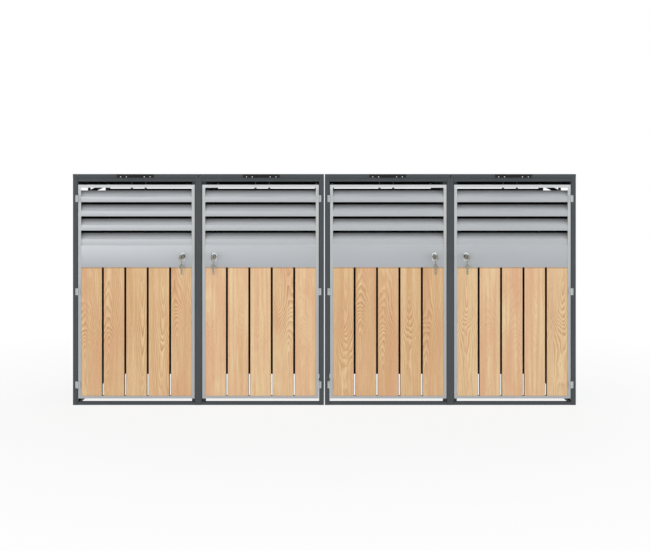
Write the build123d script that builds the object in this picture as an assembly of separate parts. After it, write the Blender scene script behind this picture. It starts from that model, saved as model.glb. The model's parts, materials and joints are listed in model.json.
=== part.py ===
"""Bin store for four wheeled bins: two free-standing double units that stand side by side.

Each unit is a steel tube frame with sheet walls, two louvred plank doors and two lids on gas struts.
Millimetres. +X to the right, +Y to the rear, +Z up; the origin is under the middle of the bounding box.
Shapes are drawn in the space of one bay or one unit: x from the outer side wall, y from the front face.
"""
import os
from math import atan2, degrees, hypot

from build123d import *

# Overall sizes
UNIT_WIDTH = 1304.0
UNIT_GAP = 5.0
BODY_DEPTH = 800.0
FRAME_HEIGHT = 1179.5
LID_HEIGHT = 20.0
LID_SEAT = 0.5
LID_SEAM = 3.0

# Flat sides of the small bars, sleeves and holes that repeat, of the key rings and of the lock knobs
ROUND_SIDES = 12
RING_SIDES = 16
KNOB_SIDES = 24

# Tube frame
POST = 25.0
MID_POST = 36.0
TUBE_WALL = 1.5
TUBE_CORNER = 2.0
TOP_RAIL = 18.5
BOTTOM_RAIL = 17.0
SIDE_TOP_RAIL = 37.5
REAR_RAIL = 15.0
REAR_CLEARANCE = 28.0
STOP_WIDTH = 73.0
STOP_HEIGHT = 60.0
STOP_SHEET = 3.0
FOOT_SIZE = 50.0
FOOT_SHEET = 3.0
ANCHOR_RADIUS = 4.5

# Sheet walls
WALL_SHEET = 1.5
WALL_INSET = 9.0
BEAD_DEPTH = 6.0
BEAD_HALF = 22.0
BEAD_FLANK = 8.0
BEAD_COUNT = 4
SIDE_VENT = 30.0
REAR_VENT = 8.0
WALL_HEM = 12.0

# Doors
DOOR_GAP = 2.0
DOOR_RECESS = 3.0
DOOR_DEPTH = 21.5
DOOR_LIFT = 34.0
DOOR_HEAD = 16.5
DOOR_SHEET = 1.5
STILE = 15.0
DOOR_TOP_RAIL = 15.5
DOOR_BOTTOM_RAIL = 13.0
CROSS_RAIL = 30.0

# Louvres and lock panel
LOUVRE_COUNT = 3
LOUVRE_PITCH = 74.0
LOUVRE_TOP_GAP = 13.5
LOUVRE_FACE = 27.5
LOUVRE_RISE = 33.5
LOUVRE_RUN = 30.0
LOUVRE_HEM = 6.0
PANEL_STEP = 3.0
PANEL_HEIGHT = 117.5

# Planks
PLANK_COUNT = 5
PLANK_GAP = 8.0
PLANK_THICK = 16.0
PLANK_SIDE_TUCK = 8.0
PLANK_TOP_TUCK = 30.0
PLANK_EDGE = 1.5

# Door hinges, the axis stands in front of the posts
HINGE_HEIGHT = 35.0
HINGE_INSET = 72.0
HINGE_STANDOFF = 5.5
HINGE_BARREL = 5.0
HINGE_PIN = 3.0
HINGE_LEAF = 3.0
HINGE_DOOR_LEAF = 7.0
HINGE_POST_REACH = 11.0
HINGE_DOOR_REACH = 10.0
PIN_CLEARANCE = 0.05
TURN_CLEARANCE = 0.5

# Locks
LOCK_SETBACK = 62.0
LOCK_RISE = 55.0
LOCK_WIDTH = 28.0
LOCK_HEIGHT = 46.0
LOCK_PROUD = 14.0
LOCK_CORNER = 8.0
LOCK_EDGE = 3.0
LOCK_BARREL = 9.0
LOCK_BARREL_DEPTH = 13.0
LOCK_NUT = 13.0
LOCK_NUT_DEPTH = 4.0
PANEL_HOLE_CLEARANCE = 0.3
PLUG_RADIUS = 6.0
KNOB_RADIUS = 13.0
KNOB_PROUD = 32.0
KNOB_EDGE = 2.0
CAM_GAP = 2.0
CAM_SHEET = 3.0
CAM_WIDTH = 18.0
CAM_CATCH = 10.0
CAM_CORNER = 5.0

# Keys
KEY_SHANK = 10.0
KEY_SHANK_RADIUS = 3.0
KEY_BOW = 11.0
KEY_THICK = 2.4
KEY_HOLE = 3.0
KEY_BLADE = 32.0
KEY_BLADE_WIDTH = 8.0
BOW_OVERLAP = 2.0
RING_INNER = 11.0
RING_WIRE = 2.0
RING_PLAY = 0.2
SPARE_PLAY = 0.4

# Lids
LID_SHEET = 1.5
LID_RIB_WIDTH = 40.0
LID_RIB_DEPTH = 12.0
LID_RIB_MARGIN = 60.0
LID_RIB_ROOT = 0.3
LID_HINGE_INSET = 120.0
LID_HINGE_LENGTH = 70.0
LID_KNUCKLE = 5.0
LID_KNUCKLE_STANDOFF = 6.0
LID_LEAF = 2.5
LID_LEAF_DROP = 34.0
LID_LEAF_RISE = 16.0
LID_PIN = 2.5

# Lid grips
GRIP_WIDTH = 190.0
GRIP_REACH = 22.0
GRIP_SHEET = 2.0
GRIP_LIP = 6.0
GRIP_MARGIN = 1.5

# Gas struts, one at each side of a lid
LID_OPEN_ANGLE = 80.0
STRUT_SIDE_GAP = 3.0
STRUT_TUBE = 10.0
STRUT_ROD = 4.0
STRUT_EYE = 9.0
STRUT_EYE_THICK = 10.0
STRUT_NECK = 1.0
STRUT_TUBE_LENGTH = 250.0
STRUT_END_WALL = 6.0
STRUT_ROD_START = 28.0
STRUT_BASE_DEPTH = 250.0
STRUT_BASE_DROP = 64.5
STRUT_LID_REACH = 161.0
STRUT_LID_DROP = 20.0
STRUT_PIN = 5.0
ROD_EYE_HOLE = 4.0
BRACKET_SHEET = 3.0
BRACKET_LENGTH = 50.0
TAB_SHEET = 3.0
TAB_LENGTH = 30.0
TAB_SIDE_GAP = 0.3

# Bin lid lifter, a bent wire hung in two eyes under each lid
LIFTER_SPAN = 73.0
LIFTER_SETBACK = 95.0
LIFTER_DROP = 103.0
LIFTER_WIRE = 2.5
LIFTER_EYE_GAP = 9.0
LIFTER_PIVOT_LENGTH = 10.0
EYE_SHEET = 3.0
EYE_DROP = 12.0
EYE_WIDTH = 16.0

# Places that follow from the sizes above
HALF = UNIT_WIDTH / 2
HEAD = FRAME_HEIGHT - TOP_RAIL
SIDE_HEAD = FRAME_HEIGHT - SIDE_TOP_RAIL
BACK_INSIDE = BODY_DEPTH - POST
MID_LOW = HALF - MID_POST / 2
MID_HIGH = HALF + MID_POST / 2
RAIL_START = POST + STOP_SHEET
LID_WIDTH = (UNIT_WIDTH - LID_SEAM) / 2
LID_BOTTOM = FRAME_HEIGHT + LID_SEAT
LID_TOP = LID_BOTTOM + LID_HEIGHT
LID_UNDER = LID_TOP - LID_SHEET

DOOR_LEFT = POST + DOOR_GAP
DOOR_RIGHT = MID_LOW - DOOR_GAP
DOOR_TOP = HEAD - DOOR_HEAD
DOOR_BACK = DOOR_RECESS + DOOR_DEPTH
SHEET_FRONT = DOOR_RECESS + DOOR_SHEET
PLANK_FRONT = SHEET_FRONT + DOOR_SHEET
PLANK_BACK = PLANK_FRONT + PLANK_THICK

LOUVRE_TOP = DOOR_TOP - DOOR_TOP_RAIL - LOUVRE_TOP_GAP
PANEL_TOP = LOUVRE_TOP - LOUVRE_COUNT * LOUVRE_PITCH
PANEL_SHOULDER = PANEL_TOP - LOUVRE_RISE - LOUVRE_FACE
PANEL_BOTTOM = PANEL_SHOULDER - PANEL_HEIGHT
PLANK_TOP = PANEL_BOTTOM + PLANK_TOP_TUCK

HINGE_X = POST + DOOR_GAP / 2
HINGE_Y = -HINGE_STANDOFF
HINGE_LEVELS = (
    DOOR_LIFT + HINGE_INSET,
    (DOOR_LIFT + DOOR_TOP) / 2,
    DOOR_TOP - HINGE_INSET,
)

LOCK_X = DOOR_RIGHT - LOCK_SETBACK
LOCK_Z = PANEL_BOTTOM + LOCK_RISE
LOCK_FRONT = SHEET_FRONT - LOCK_PROUD
KNOB_FRONT = LOCK_FRONT - KNOB_PROUD
CAM_FRONT = POST + CAM_GAP
CAM_REACH = LOCK_SETBACK + DOOR_GAP + CAM_CATCH
BOW_Y = KNOB_FRONT - KEY_SHANK - KEY_BOW + BOW_OVERLAP
KEY_FRONT = BOW_Y - KEY_BOW
RING_Y = KNOB_FRONT - KEY_SHANK / 2
RING_Z = LOCK_Z + KEY_SHANK_RADIUS + RING_PLAY - RING_INNER
LINK_Z = RING_Z + RING_PLAY - 2 * RING_INNER

LID_AXIS_Y = BODY_DEPTH + LID_KNUCKLE_STANDOFF
LID_AXIS_Z = LID_BOTTOM
LID_HINGES = ((LID_HINGE_INSET, 1), (LID_WIDTH - LID_HINGE_INSET, -1))

STRUT_BASE_Z = FRAME_HEIGHT - STRUT_BASE_DROP
STRUT_LID_Y = LID_AXIS_Y - STRUT_LID_REACH
STRUT_LID_Z = LID_AXIS_Z - STRUT_LID_DROP
STRUT_LENGTH = hypot(STRUT_LID_Y - STRUT_BASE_DEPTH, STRUT_LID_Z - STRUT_BASE_Z)
STRUT_TILT = degrees(atan2(STRUT_LID_Z - STRUT_BASE_Z, STRUT_LID_Y - STRUT_BASE_DEPTH))
STRUT_INSET = STRUT_SIDE_GAP + BRACKET_SHEET + STRUT_TUBE

LIFTER_X = LID_WIDTH / 2
LIFTER_Z = LID_UNDER - EYE_DROP / 2 - LIFTER_WIRE

FRONT_Y = (-KEY_FRONT - BODY_DEPTH - LID_KNUCKLE_STANDOFF - LID_KNUCKLE) / 2
UNIT_LEFTS = (-UNIT_WIDTH - UNIT_GAP / 2, UNIT_GAP / 2)
BAYS = range(1, 2 * len(UNIT_LEFTS) + 1)
AXES = {"x": Axis.X, "y": Axis.Y, "z": Axis.Z}


def block(x, y, z):
    """Rectangular solid between two limits on each axis."""
    size = (x[1] - x[0], y[1] - y[0], z[1] - z[0])
    return Pos(x[0], y[0], z[0]) * Box(*size, align=(Align.MIN, Align.MIN, Align.MIN))


def rod_x(radius, x, y, z):
    """Round bar along X between two limits, centred on y and z."""
    bar = Cylinder(radius, x[1] - x[0], align=(Align.CENTER, Align.CENTER, Align.MIN))
    return Pos(x[0], y, z) * Rot(0, 90, 0) * bar


def rod_y(radius, x, y, z):
    """Round bar along Y between two limits, centred on x and z."""
    bar = Cylinder(radius, y[1] - y[0], align=(Align.CENTER, Align.CENTER, Align.MIN))
    return Pos(x, y[0], z) * Rot(-90, 0, 0) * bar


def rod_z(radius, x, y, z):
    """Round bar along Z between two limits, centred on x and y."""
    bar = Cylinder(radius, z[1] - z[0], align=(Align.CENTER, Align.CENTER, Align.MIN))
    return Pos(x, y, z[0]) * bar


def many_sided(radius, x, y, z, hole=False, sides=ROUND_SIDES):
    """Bar with flat sides between two limits on one axis, centred on the other two.

    A bar has its corners on the radius. A hole has its flats there, so that a round pin passes.
    """
    place = {"x": x, "y": y, "z": z}
    along = next(name for name, value in place.items() if isinstance(value, (tuple, list)))
    low, high = place[along]
    place[along] = low
    end = Plane(origin=(place["x"], place["y"], place["z"]), z_dir=AXES[along].direction)
    return extrude(end * RegularPolygon(radius, sides, major_radius=not hole), high - low)


def tube(x, y, z, along):
    """Square tube with eased corners, open at both ends, along one axis."""
    limits = {"x": x, "y": y, "z": z}
    bar = block(x, y, z)
    bar = chamfer(bar.edges().filter_by(AXES[along]), TUBE_CORNER)
    bore = {}
    for name, (low, high) in limits.items():
        wall = 0 if name == along else TUBE_WALL
        bore[name] = (low + wall, high - wall)
    return bar - block(bore["x"], bore["y"], bore["z"])


def capped_post(x, y, height):
    """Upright tube with eased corners, closed on top."""
    post = block(x, y, (0, height))
    post = chamfer(post.edges().filter_by(Axis.Z), TUBE_CORNER)
    bore_x = (x[0] + TUBE_WALL, x[1] - TUBE_WALL)
    bore_y = (y[0] + TUBE_WALL, y[1] - TUBE_WALL)
    return post - block(bore_x, bore_y, (0, height - TUBE_WALL))


def folded_outline(bends, sheet):
    """Closed outline of a bent sheet: its bend line, and that line moved to the right by its thickness."""
    normals = []
    for start, end in zip(bends, bends[1:]):
        run = end[0] - start[0]
        rise = end[1] - start[1]
        length = hypot(run, rise)
        normals.append((rise / length, -run / length))
    before = [normals[0]] + normals
    after = normals + [normals[-1]]
    moved = []
    for point, first, second in zip(bends, before, after):
        share = sheet / (1 + first[0] * second[0] + first[1] * second[1])
        moved.append((point[0] + (first[0] + second[0]) * share, point[1] + (first[1] + second[1]) * share))
    return list(bends) + moved[::-1]


def sheet_along_x(bends, sheet, x):
    """Bent sheet whose section is drawn in y and z."""
    section = Plane(origin=(x[0], 0, 0), x_dir=(0, 1, 0), z_dir=(1, 0, 0))
    outline = Polyline(*folded_outline(bends, sheet), close=True)
    return extrude(section * make_face(outline), x[1] - x[0])


def sheet_along_y(bends, sheet, y):
    """Bent sheet whose section is drawn in x and z."""
    section = Plane(origin=(0, y[1], 0), x_dir=(1, 0, 0), z_dir=(0, -1, 0))
    outline = Polyline(*folded_outline(bends, sheet), close=True)
    return extrude(section * make_face(outline), y[1] - y[0])


def beaded_line(base, depth, low, high):
    """Bend line of an upright wall with level stiffening beads."""
    points = [(base, low)]
    step = (high - low) / BEAD_COUNT
    for index in range(BEAD_COUNT):
        middle = low + (index + 0.5) * step
        points.append((base, middle - BEAD_HALF - BEAD_FLANK))
        points.append((base + depth, middle - BEAD_HALF))
        points.append((base + depth, middle + BEAD_HALF))
        points.append((base, middle + BEAD_HALF + BEAD_FLANK))
    points.append((base, high))
    return points


def front_frame():
    """Posts, rails, door stops and front feet of one unit."""
    depth = (0, POST)
    pieces = [
        capped_post((0, POST), depth, FRAME_HEIGHT),
        capped_post((MID_LOW, MID_HIGH), depth, FRAME_HEIGHT),
        capped_post((UNIT_WIDTH - POST, UNIT_WIDTH), depth, FRAME_HEIGHT),
    ]
    for span in ((POST, MID_LOW), (MID_HIGH, UNIT_WIDTH - POST)):
        pieces.append(tube(span, depth, (HEAD, FRAME_HEIGHT), "x"))
        pieces.append(tube(span, depth, (0, BOTTOM_RAIL), "x"))
    stop_x = (HALF - STOP_WIDTH / 2, HALF + STOP_WIDTH / 2)
    for low in (0, FRAME_HEIGHT - STOP_HEIGHT):
        pieces.append(block(stop_x, (POST, RAIL_START), (low, low + STOP_HEIGHT)))
    return pieces + feet(POST)


def rear_frame():
    """Posts, rails and rear feet of one unit."""
    depth = (BACK_INSIDE, BODY_DEPTH)
    pieces = [
        capped_post((0, POST), depth, FRAME_HEIGHT),
        capped_post((MID_LOW, MID_HIGH), depth, FRAME_HEIGHT),
        capped_post((UNIT_WIDTH - POST, UNIT_WIDTH), depth, FRAME_HEIGHT),
    ]
    for span in ((POST, MID_LOW), (MID_HIGH, UNIT_WIDTH - POST)):
        pieces.append(tube(span, depth, (SIDE_HEAD, FRAME_HEIGHT), "x"))
        pieces.append(tube(span, depth, (REAR_CLEARANCE, REAR_CLEARANCE + REAR_RAIL), "x"))
    return pieces + feet(BACK_INSIDE - FOOT_SIZE)


def feet(front):
    """Anchor plates in the two corners of a unit, each with one hole."""
    pieces = []
    for left in (POST, UNIT_WIDTH - POST - FOOT_SIZE):
        plate = block((left, left + FOOT_SIZE), (front, front + FOOT_SIZE), (0, FOOT_SHEET))
        hole = rod_z(ANCHOR_RADIUS, left + FOOT_SIZE / 2, front + FOOT_SIZE / 2, (0, FOOT_SHEET))
        pieces.append(plate - hole)
    return pieces


def side_rails():
    """Rails from front to rear at both sides and in the middle of one unit."""
    pieces = []
    for x in ((0, POST), (UNIT_WIDTH - POST, UNIT_WIDTH)):
        pieces.append(tube(x, (POST, BACK_INSIDE), (0, BOTTOM_RAIL), "y"))
        pieces.append(tube(x, (POST, BACK_INSIDE), (SIDE_HEAD, FRAME_HEIGHT), "y"))
    middle = (MID_LOW, MID_HIGH)
    pieces.append(tube(middle, (RAIL_START, BACK_INSIDE), (0, BOTTOM_RAIL), "y"))
    pieces.append(tube(middle, (RAIL_START, BACK_INSIDE), (SIDE_HEAD, FRAME_HEIGHT), "y"))
    return pieces


def strut_bracket(wall, inward):
    """Plate on a rail with the stud that carries a strut tube; inward is +1 or -1 along x."""
    y = (STRUT_BASE_DEPTH - BRACKET_LENGTH / 2, STRUT_BASE_DEPTH + BRACKET_LENGTH / 2)
    plate_x = sorted((wall, wall + inward * BRACKET_SHEET))
    plate = block(plate_x, y, (STRUT_BASE_Z - STRUT_EYE, FRAME_HEIGHT - TUBE_CORNER))
    corners = plate.edges().filter_by(Axis.X).group_by(Axis.Z)[0]
    plate = chamfer(corners, STRUT_EYE)
    stud_end = wall + inward * (STRUT_INSET + STRUT_EYE_THICK / 2)
    stud = rod_x(STRUT_PIN, sorted((wall, stud_end)), STRUT_BASE_DEPTH, STRUT_BASE_Z)
    return plate + stud


def side_panel():
    """Beaded side wall of a bay with a hem under the air slot."""
    bends = beaded_line(WALL_INSET, -BEAD_DEPTH, BOTTOM_RAIL, SIDE_HEAD - SIDE_VENT)
    bends.append((WALL_INSET + WALL_HEM, SIDE_HEAD - SIDE_VENT))
    return sheet_along_y(bends, WALL_SHEET, (POST, BACK_INSIDE))


def rear_panel():
    """Beaded rear wall of a bay."""
    low = REAR_CLEARANCE + REAR_RAIL
    bends = beaded_line(BODY_DEPTH - WALL_INSET, BEAD_DEPTH, low, SIDE_HEAD - REAR_VENT)
    return sheet_along_x(bends, WALL_SHEET, (POST, MID_LOW))


def partition():
    """Beaded wall between the two bays of a unit."""
    base = HALF - (BEAD_DEPTH + WALL_SHEET) / 2
    bends = beaded_line(base, BEAD_DEPTH, BOTTOM_RAIL, SIDE_HEAD)
    return sheet_along_y(bends, WALL_SHEET, (RAIL_START, BACK_INSIDE))


def door_hinge_post(level):
    """Fixed hinge leaf on a post: lower barrel and pin."""
    low = level - HINGE_HEIGHT / 2
    high = level + HINGE_HEIGHT / 2
    outer = POST - HINGE_POST_REACH
    upper_edge = HINGE_X - HINGE_BARREL - TURN_CLEARANCE
    leaf = block((outer, POST), (-HINGE_LEAF, 0), (low, level))
    leaf += block((outer, upper_edge), (-HINGE_LEAF, 0), (level, high))
    barrel = many_sided(HINGE_BARREL, HINGE_X, HINGE_Y, (low, level - TURN_CLEARANCE / 2))
    pin = rod_z(HINGE_PIN, HINGE_X, HINGE_Y, (low, high - TURN_CLEARANCE))
    return leaf + barrel + pin


def door_hinge_leaf(level):
    """Moving hinge leaf on a door stile: upper barrel that drops over the pin."""
    low = level - HINGE_HEIGHT / 2
    high = level + HINGE_HEIGHT / 2
    base = level + TURN_CLEARANCE / 2
    end = DOOR_LEFT + HINGE_DOOR_REACH
    front = DOOR_RECESS - HINGE_DOOR_LEAF
    barrel = many_sided(HINGE_BARREL, HINGE_X, HINGE_Y, (base, high))
    leaf = block((HINGE_X + HINGE_BARREL + TURN_CLEARANCE, end), (front, DOOR_RECESS), (low, high))
    leaf += block((DOOR_LEFT, end), (front, DOOR_RECESS), (base, high))
    bore = many_sided(HINGE_PIN + PIN_CLEARANCE, HINGE_X, HINGE_Y, (base, high), hole=True)
    return barrel + leaf - bore


def door_frame():
    """Angle-section door frame with the two flat bars that back the planks."""
    x = (DOOR_LEFT, DOOR_RIGHT)
    y = (DOOR_RECESS, DOOR_BACK)
    z = (DOOR_LIFT, DOOR_TOP)
    inside_x = (x[0] + DOOR_SHEET, x[1] - DOOR_SHEET)
    inside_z = (z[0] + DOOR_SHEET, z[1] - DOOR_SHEET)
    frame = block(x, y, z)
    frame -= block((x[0] + STILE, x[1] - STILE), y, (z[0] + DOOR_BOTTOM_RAIL, z[1] - DOOR_TOP_RAIL))
    frame -= block(inside_x, (SHEET_FRONT, DOOR_BACK), inside_z)
    bar_y = (PLANK_BACK, DOOR_BACK)
    frame += block(inside_x, bar_y, (inside_z[0], DOOR_LIFT + DOOR_BOTTOM_RAIL))
    frame += block(inside_x, bar_y, (PANEL_BOTTOM, PANEL_BOTTOM + CROSS_RAIL))
    return frame


def louvre(index):
    """Bent slat: small hem, upright face and a slope that runs inwards to its top edge."""
    top = LOUVRE_TOP - index * LOUVRE_PITCH
    crease = top - LOUVRE_RISE
    low = crease - LOUVRE_FACE
    bends = [
        (SHEET_FRONT + LOUVRE_HEM, low),
        (SHEET_FRONT, low),
        (SHEET_FRONT, crease),
        (SHEET_FRONT + LOUVRE_RUN, top),
    ]
    return sheet_along_x(bends, DOOR_SHEET, (DOOR_LEFT + DOOR_SHEET, DOOR_RIGHT - DOOR_SHEET))


def lock_panel():
    """Flat panel that carries the lock; its stepped top edge is the lowest louvre."""
    back = SHEET_FRONT + PANEL_STEP
    bends = [
        (SHEET_FRONT, PANEL_BOTTOM),
        (SHEET_FRONT, PANEL_SHOULDER - PANEL_STEP),
        (back, PANEL_SHOULDER),
        (back, PANEL_TOP - LOUVRE_RISE),
        (back + LOUVRE_RUN, PANEL_TOP),
    ]
    panel = sheet_along_x(bends, DOOR_SHEET, (DOOR_LEFT + DOOR_SHEET, DOOR_RIGHT - DOOR_SHEET))
    barrel_room = LOCK_BARREL + PANEL_HOLE_CLEARANCE
    return panel - many_sided(barrel_room, LOCK_X, (DOOR_RECESS, DOOR_BACK), LOCK_Z, hole=True)


def planks():
    """Upright planks with open joints, tucked behind the stiles and the lock panel."""
    left = DOOR_LEFT + STILE
    right = DOOR_RIGHT - STILE
    width = (right - left - (PLANK_COUNT - 1) * PLANK_GAP) / PLANK_COUNT
    pieces = []
    for index in range(PLANK_COUNT):
        low = left + index * (width + PLANK_GAP)
        high = low + width
        if index == 0:
            low -= PLANK_SIDE_TUCK
        if index == PLANK_COUNT - 1:
            high += PLANK_SIDE_TUCK
        plank = block((low, high), (PLANK_FRONT, PLANK_BACK), (DOOR_LIFT + DOOR_SHEET, PLANK_TOP))
        front_edges = plank.edges().filter_by(Axis.Z).group_by(Axis.Y)[0]
        pieces.append(chamfer(front_edges, PLANK_EDGE))
    return pieces


def lock_housing():
    """Lock body with cut corners, its barrel through the panel and the nut behind it."""
    x = (LOCK_X - LOCK_WIDTH / 2, LOCK_X + LOCK_WIDTH / 2)
    z = (LOCK_Z - LOCK_HEIGHT / 2, LOCK_Z + LOCK_HEIGHT / 2)
    body = block(x, (LOCK_FRONT, SHEET_FRONT), z)
    body = chamfer(body.edges().filter_by(Axis.Y), LOCK_CORNER)
    body = chamfer(body.faces().sort_by(Axis.Y)[0].edges(), LOCK_EDGE)
    behind = SHEET_FRONT + DOOR_SHEET
    barrel_end = SHEET_FRONT + LOCK_BARREL_DEPTH
    barrel = many_sided(LOCK_BARREL, LOCK_X, (SHEET_FRONT, barrel_end), LOCK_Z)
    nut_plane = Plane(origin=(LOCK_X, behind, LOCK_Z), z_dir=(0, 1, 0))
    nut = extrude(nut_plane * RegularPolygon(LOCK_NUT, 6), LOCK_NUT_DEPTH)
    bore = many_sided(PLUG_RADIUS + PIN_CLEARANCE, LOCK_X, (LOCK_FRONT, barrel_end), LOCK_Z, hole=True)
    return body + barrel + nut - bore


def lock_plug():
    """Knob and plug of the lock with the cam on the inner end, hanging down while unlocked."""
    cam_y = (CAM_FRONT, CAM_FRONT + CAM_SHEET)
    plug = rod_y(PLUG_RADIUS, LOCK_X, (KNOB_FRONT + KNOB_EDGE, cam_y[1]), LOCK_Z)
    knob_y = (KNOB_FRONT, LOCK_FRONT - TURN_CLEARANCE / 2)
    knob = many_sided(KNOB_RADIUS, LOCK_X, knob_y, LOCK_Z, sides=KNOB_SIDES)
    knob = chamfer(knob.edges().group_by(Axis.Y)[0], KNOB_EDGE)
    half = CAM_WIDTH / 2
    cam = block((LOCK_X - half, LOCK_X + half), cam_y, (LOCK_Z - CAM_REACH, LOCK_Z + half))
    return plug + knob + chamfer(cam.edges().filter_by(Axis.Y), CAM_CORNER)


def key_head():
    """Flat head of a key with cut corners, upright in the plane x = 0, with its hole on top."""
    x = (-KEY_THICK / 2, KEY_THICK / 2)
    head = block(x, (-KEY_BOW, KEY_BOW), (-KEY_BOW, KEY_BOW))
    head = chamfer(head.edges().filter_by(Axis.X), KEY_BOW / 2)
    return head - many_sided(KEY_HOLE, x, 0, KEY_BOW / 2, hole=True)


def inserted_key():
    """Key in the knob: a short shank and its head, edge on to the front."""
    shank = many_sided(KEY_SHANK_RADIUS, LOCK_X, (KNOB_FRONT - KEY_SHANK, KNOB_FRONT), LOCK_Z)
    return shank + Pos(LOCK_X, BOW_Y, LOCK_Z) * Rot(90, 0, 0) * key_head()


def key_ring(z, turn):
    """Flat ring below the shank of the inserted key, turned about the upright line."""
    wire = Plane(origin=(0, -RING_WIRE / 2, 0), z_dir=(0, 1, 0))
    outer = RegularPolygon(RING_INNER + RING_WIRE, RING_SIDES, major_radius=False)
    inner = RegularPolygon(RING_INNER, RING_SIDES, major_radius=False)
    loop = extrude(wire * (outer - inner), RING_WIRE)
    return Pos(LOCK_X, RING_Y, z) * Rot(0, 0, turn) * loop


def key_rings():
    """Ring on the shank, and a second one linked through it at right angles."""
    return [key_ring(RING_Z, 0), key_ring(LINK_Z, 90)]


def spare_key():
    """Second key, hung from the lower ring by the hole in its head, flat to the front."""
    hole_z = LINK_Z - RING_INNER + SPARE_PLAY - KEY_HOLE
    half = KEY_BLADE_WIDTH / 2
    blade_low = BOW_OVERLAP - KEY_BOW - KEY_BLADE
    blade = block((-KEY_THICK / 2, KEY_THICK / 2), (-half, half), (blade_low, 0))
    return Pos(LOCK_X, RING_Y, hole_z - KEY_BOW / 2) * Rot(0, 0, 90) * (key_head() + blade)


def lid_knuckle(place, side):
    """Moving half of a lid hinge: leaf on the rear skirt and the knuckle beyond the middle."""
    wide = LID_HINGE_LENGTH / 2
    leaf_y = (BODY_DEPTH, BODY_DEPTH + LID_LEAF)
    clear = LID_AXIS_Z + LID_KNUCKLE + 2 * TURN_CLEARANCE
    leaf_top = LID_AXIS_Z + LID_LEAF_RISE
    x = sorted((place + side * TURN_CLEARANCE / 2, place + side * wide))
    knuckle = many_sided(LID_KNUCKLE, x, LID_AXIS_Y, LID_AXIS_Z)
    knuckle += block(x, leaf_y, (LID_AXIS_Z, leaf_top))
    knuckle += block((place - wide, place + wide), leaf_y, (clear, leaf_top))
    return knuckle - many_sided(LID_PIN + PIN_CLEARANCE, x, LID_AXIS_Y, LID_AXIS_Z, hole=True)


def lid_hinge_post(place, side):
    """Fixed half of a lid hinge: leaf on the rear rail, knuckle and pin; side is where the pin points."""
    wide = LID_HINGE_LENGTH / 2
    leaf_y = (BODY_DEPTH, BODY_DEPTH + LID_LEAF)
    clear = LID_AXIS_Z - LID_KNUCKLE - 2 * TURN_CLEARANCE
    low = LID_AXIS_Z - LID_LEAF_DROP
    x = sorted((place - side * TURN_CLEARANCE / 2, place - side * wide))
    pin_x = sorted((place - side * wide, place + side * (wide - TURN_CLEARANCE)))
    post = block((place - wide, place + wide), leaf_y, (low, clear))
    post += block(x, leaf_y, (low, LID_AXIS_Z - TURN_CLEARANCE))
    post += many_sided(LID_KNUCKLE, x, LID_AXIS_Y, LID_AXIS_Z)
    return post + rod_x(LID_PIN, pin_x, LID_AXIS_Y, LID_AXIS_Z)


def lid_tab(x):
    """Plate under the lid that the strut rod is bolted to."""
    y = (STRUT_LID_Y - TAB_LENGTH / 2, STRUT_LID_Y + TAB_LENGTH / 2)
    plate = block(x, y, (STRUT_LID_Z - STRUT_EYE, LID_UNDER))
    corners = plate.edges().filter_by(Axis.X).group_by(Axis.Z)[0]
    plate = chamfer(corners, STRUT_EYE)
    return plate - many_sided(ROD_EYE_HOLE, x, STRUT_LID_Y, STRUT_LID_Z, hole=True)


def lifter_eye(x):
    """Small plate under the lid with the hole that one end of the lifter turns in."""
    y = (LIFTER_SETBACK - EYE_WIDTH / 2, LIFTER_SETBACK + EYE_WIDTH / 2)
    plate = block(x, y, (LIFTER_Z - EYE_WIDTH / 2, LID_UNDER))
    return plate - rod_x(LIFTER_WIRE + PIN_CLEARANCE, x, LIFTER_SETBACK, LIFTER_Z)


def lid_panel():
    """Lid tray with ribs, hinge knuckles, strut tabs and lifter eyes welded to it."""
    x = (0, LID_WIDTH)
    y = (0, BODY_DEPTH)
    inside_x = (LID_SHEET, LID_WIDTH - LID_SHEET)
    inside_y = (LID_SHEET, BODY_DEPTH - LID_SHEET)
    lid = block(x, y, (LID_BOTTOM, LID_TOP))
    lid -= block(inside_x, inside_y, (LID_BOTTOM, LID_UNDER))
    for middle in (LID_WIDTH / 4, 3 * LID_WIDTH / 4):
        lid += lid_rib(middle)
    for place, side in LID_HINGES:
        lid += lid_knuckle(place, side)
    for strut in strut_sides():
        near = strut["x"] + strut["inward"] * (STRUT_EYE_THICK / 2 + TAB_SIDE_GAP)
        far = near + strut["inward"] * TAB_SHEET
        lid += lid_tab(sorted((near, far)))
    for outward in (-1, 1):
        near = LIFTER_X + outward * (LIFTER_SPAN / 2 + LIFTER_EYE_GAP)
        lid += lifter_eye(sorted((near, near + outward * EYE_SHEET)))
    return lid


def lid_rib(middle):
    """Hat-section rib from front to rear, its edges let into the lid sheet."""
    half = LID_RIB_WIDTH / 2
    rooted = LID_UNDER + LID_RIB_ROOT
    low = LID_UNDER - LID_RIB_DEPTH
    bends = [
        (middle + half, rooted),
        (middle + half / 2, low),
        (middle - half / 2, low),
        (middle - half, rooted),
    ]
    return sheet_along_y(bends, LID_SHEET, (LID_RIB_MARGIN, BODY_DEPTH - LID_RIB_MARGIN))


def lid_grip():
    """Bent grip on the front skirt: fixing flange, lip and turned-down edge."""
    top = LID_TOP - GRIP_MARGIN
    bends = [
        (-GRIP_REACH, top - GRIP_LIP),
        (-GRIP_REACH, top),
        (0, top),
        (0, LID_BOTTOM + GRIP_MARGIN),
    ]
    middle = LID_WIDTH / 2
    return sheet_along_x(bends, GRIP_SHEET, (middle - GRIP_WIDTH / 2, middle + GRIP_WIDTH / 2))


def strut_sides():
    """Places of the two struts of a bay: one on the side rail, one on the middle rail."""
    return (
        {"wall": POST, "x": POST + STRUT_INSET, "inward": 1},
        {"wall": MID_LOW, "x": MID_LOW - STRUT_INSET, "inward": -1},
    )


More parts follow.
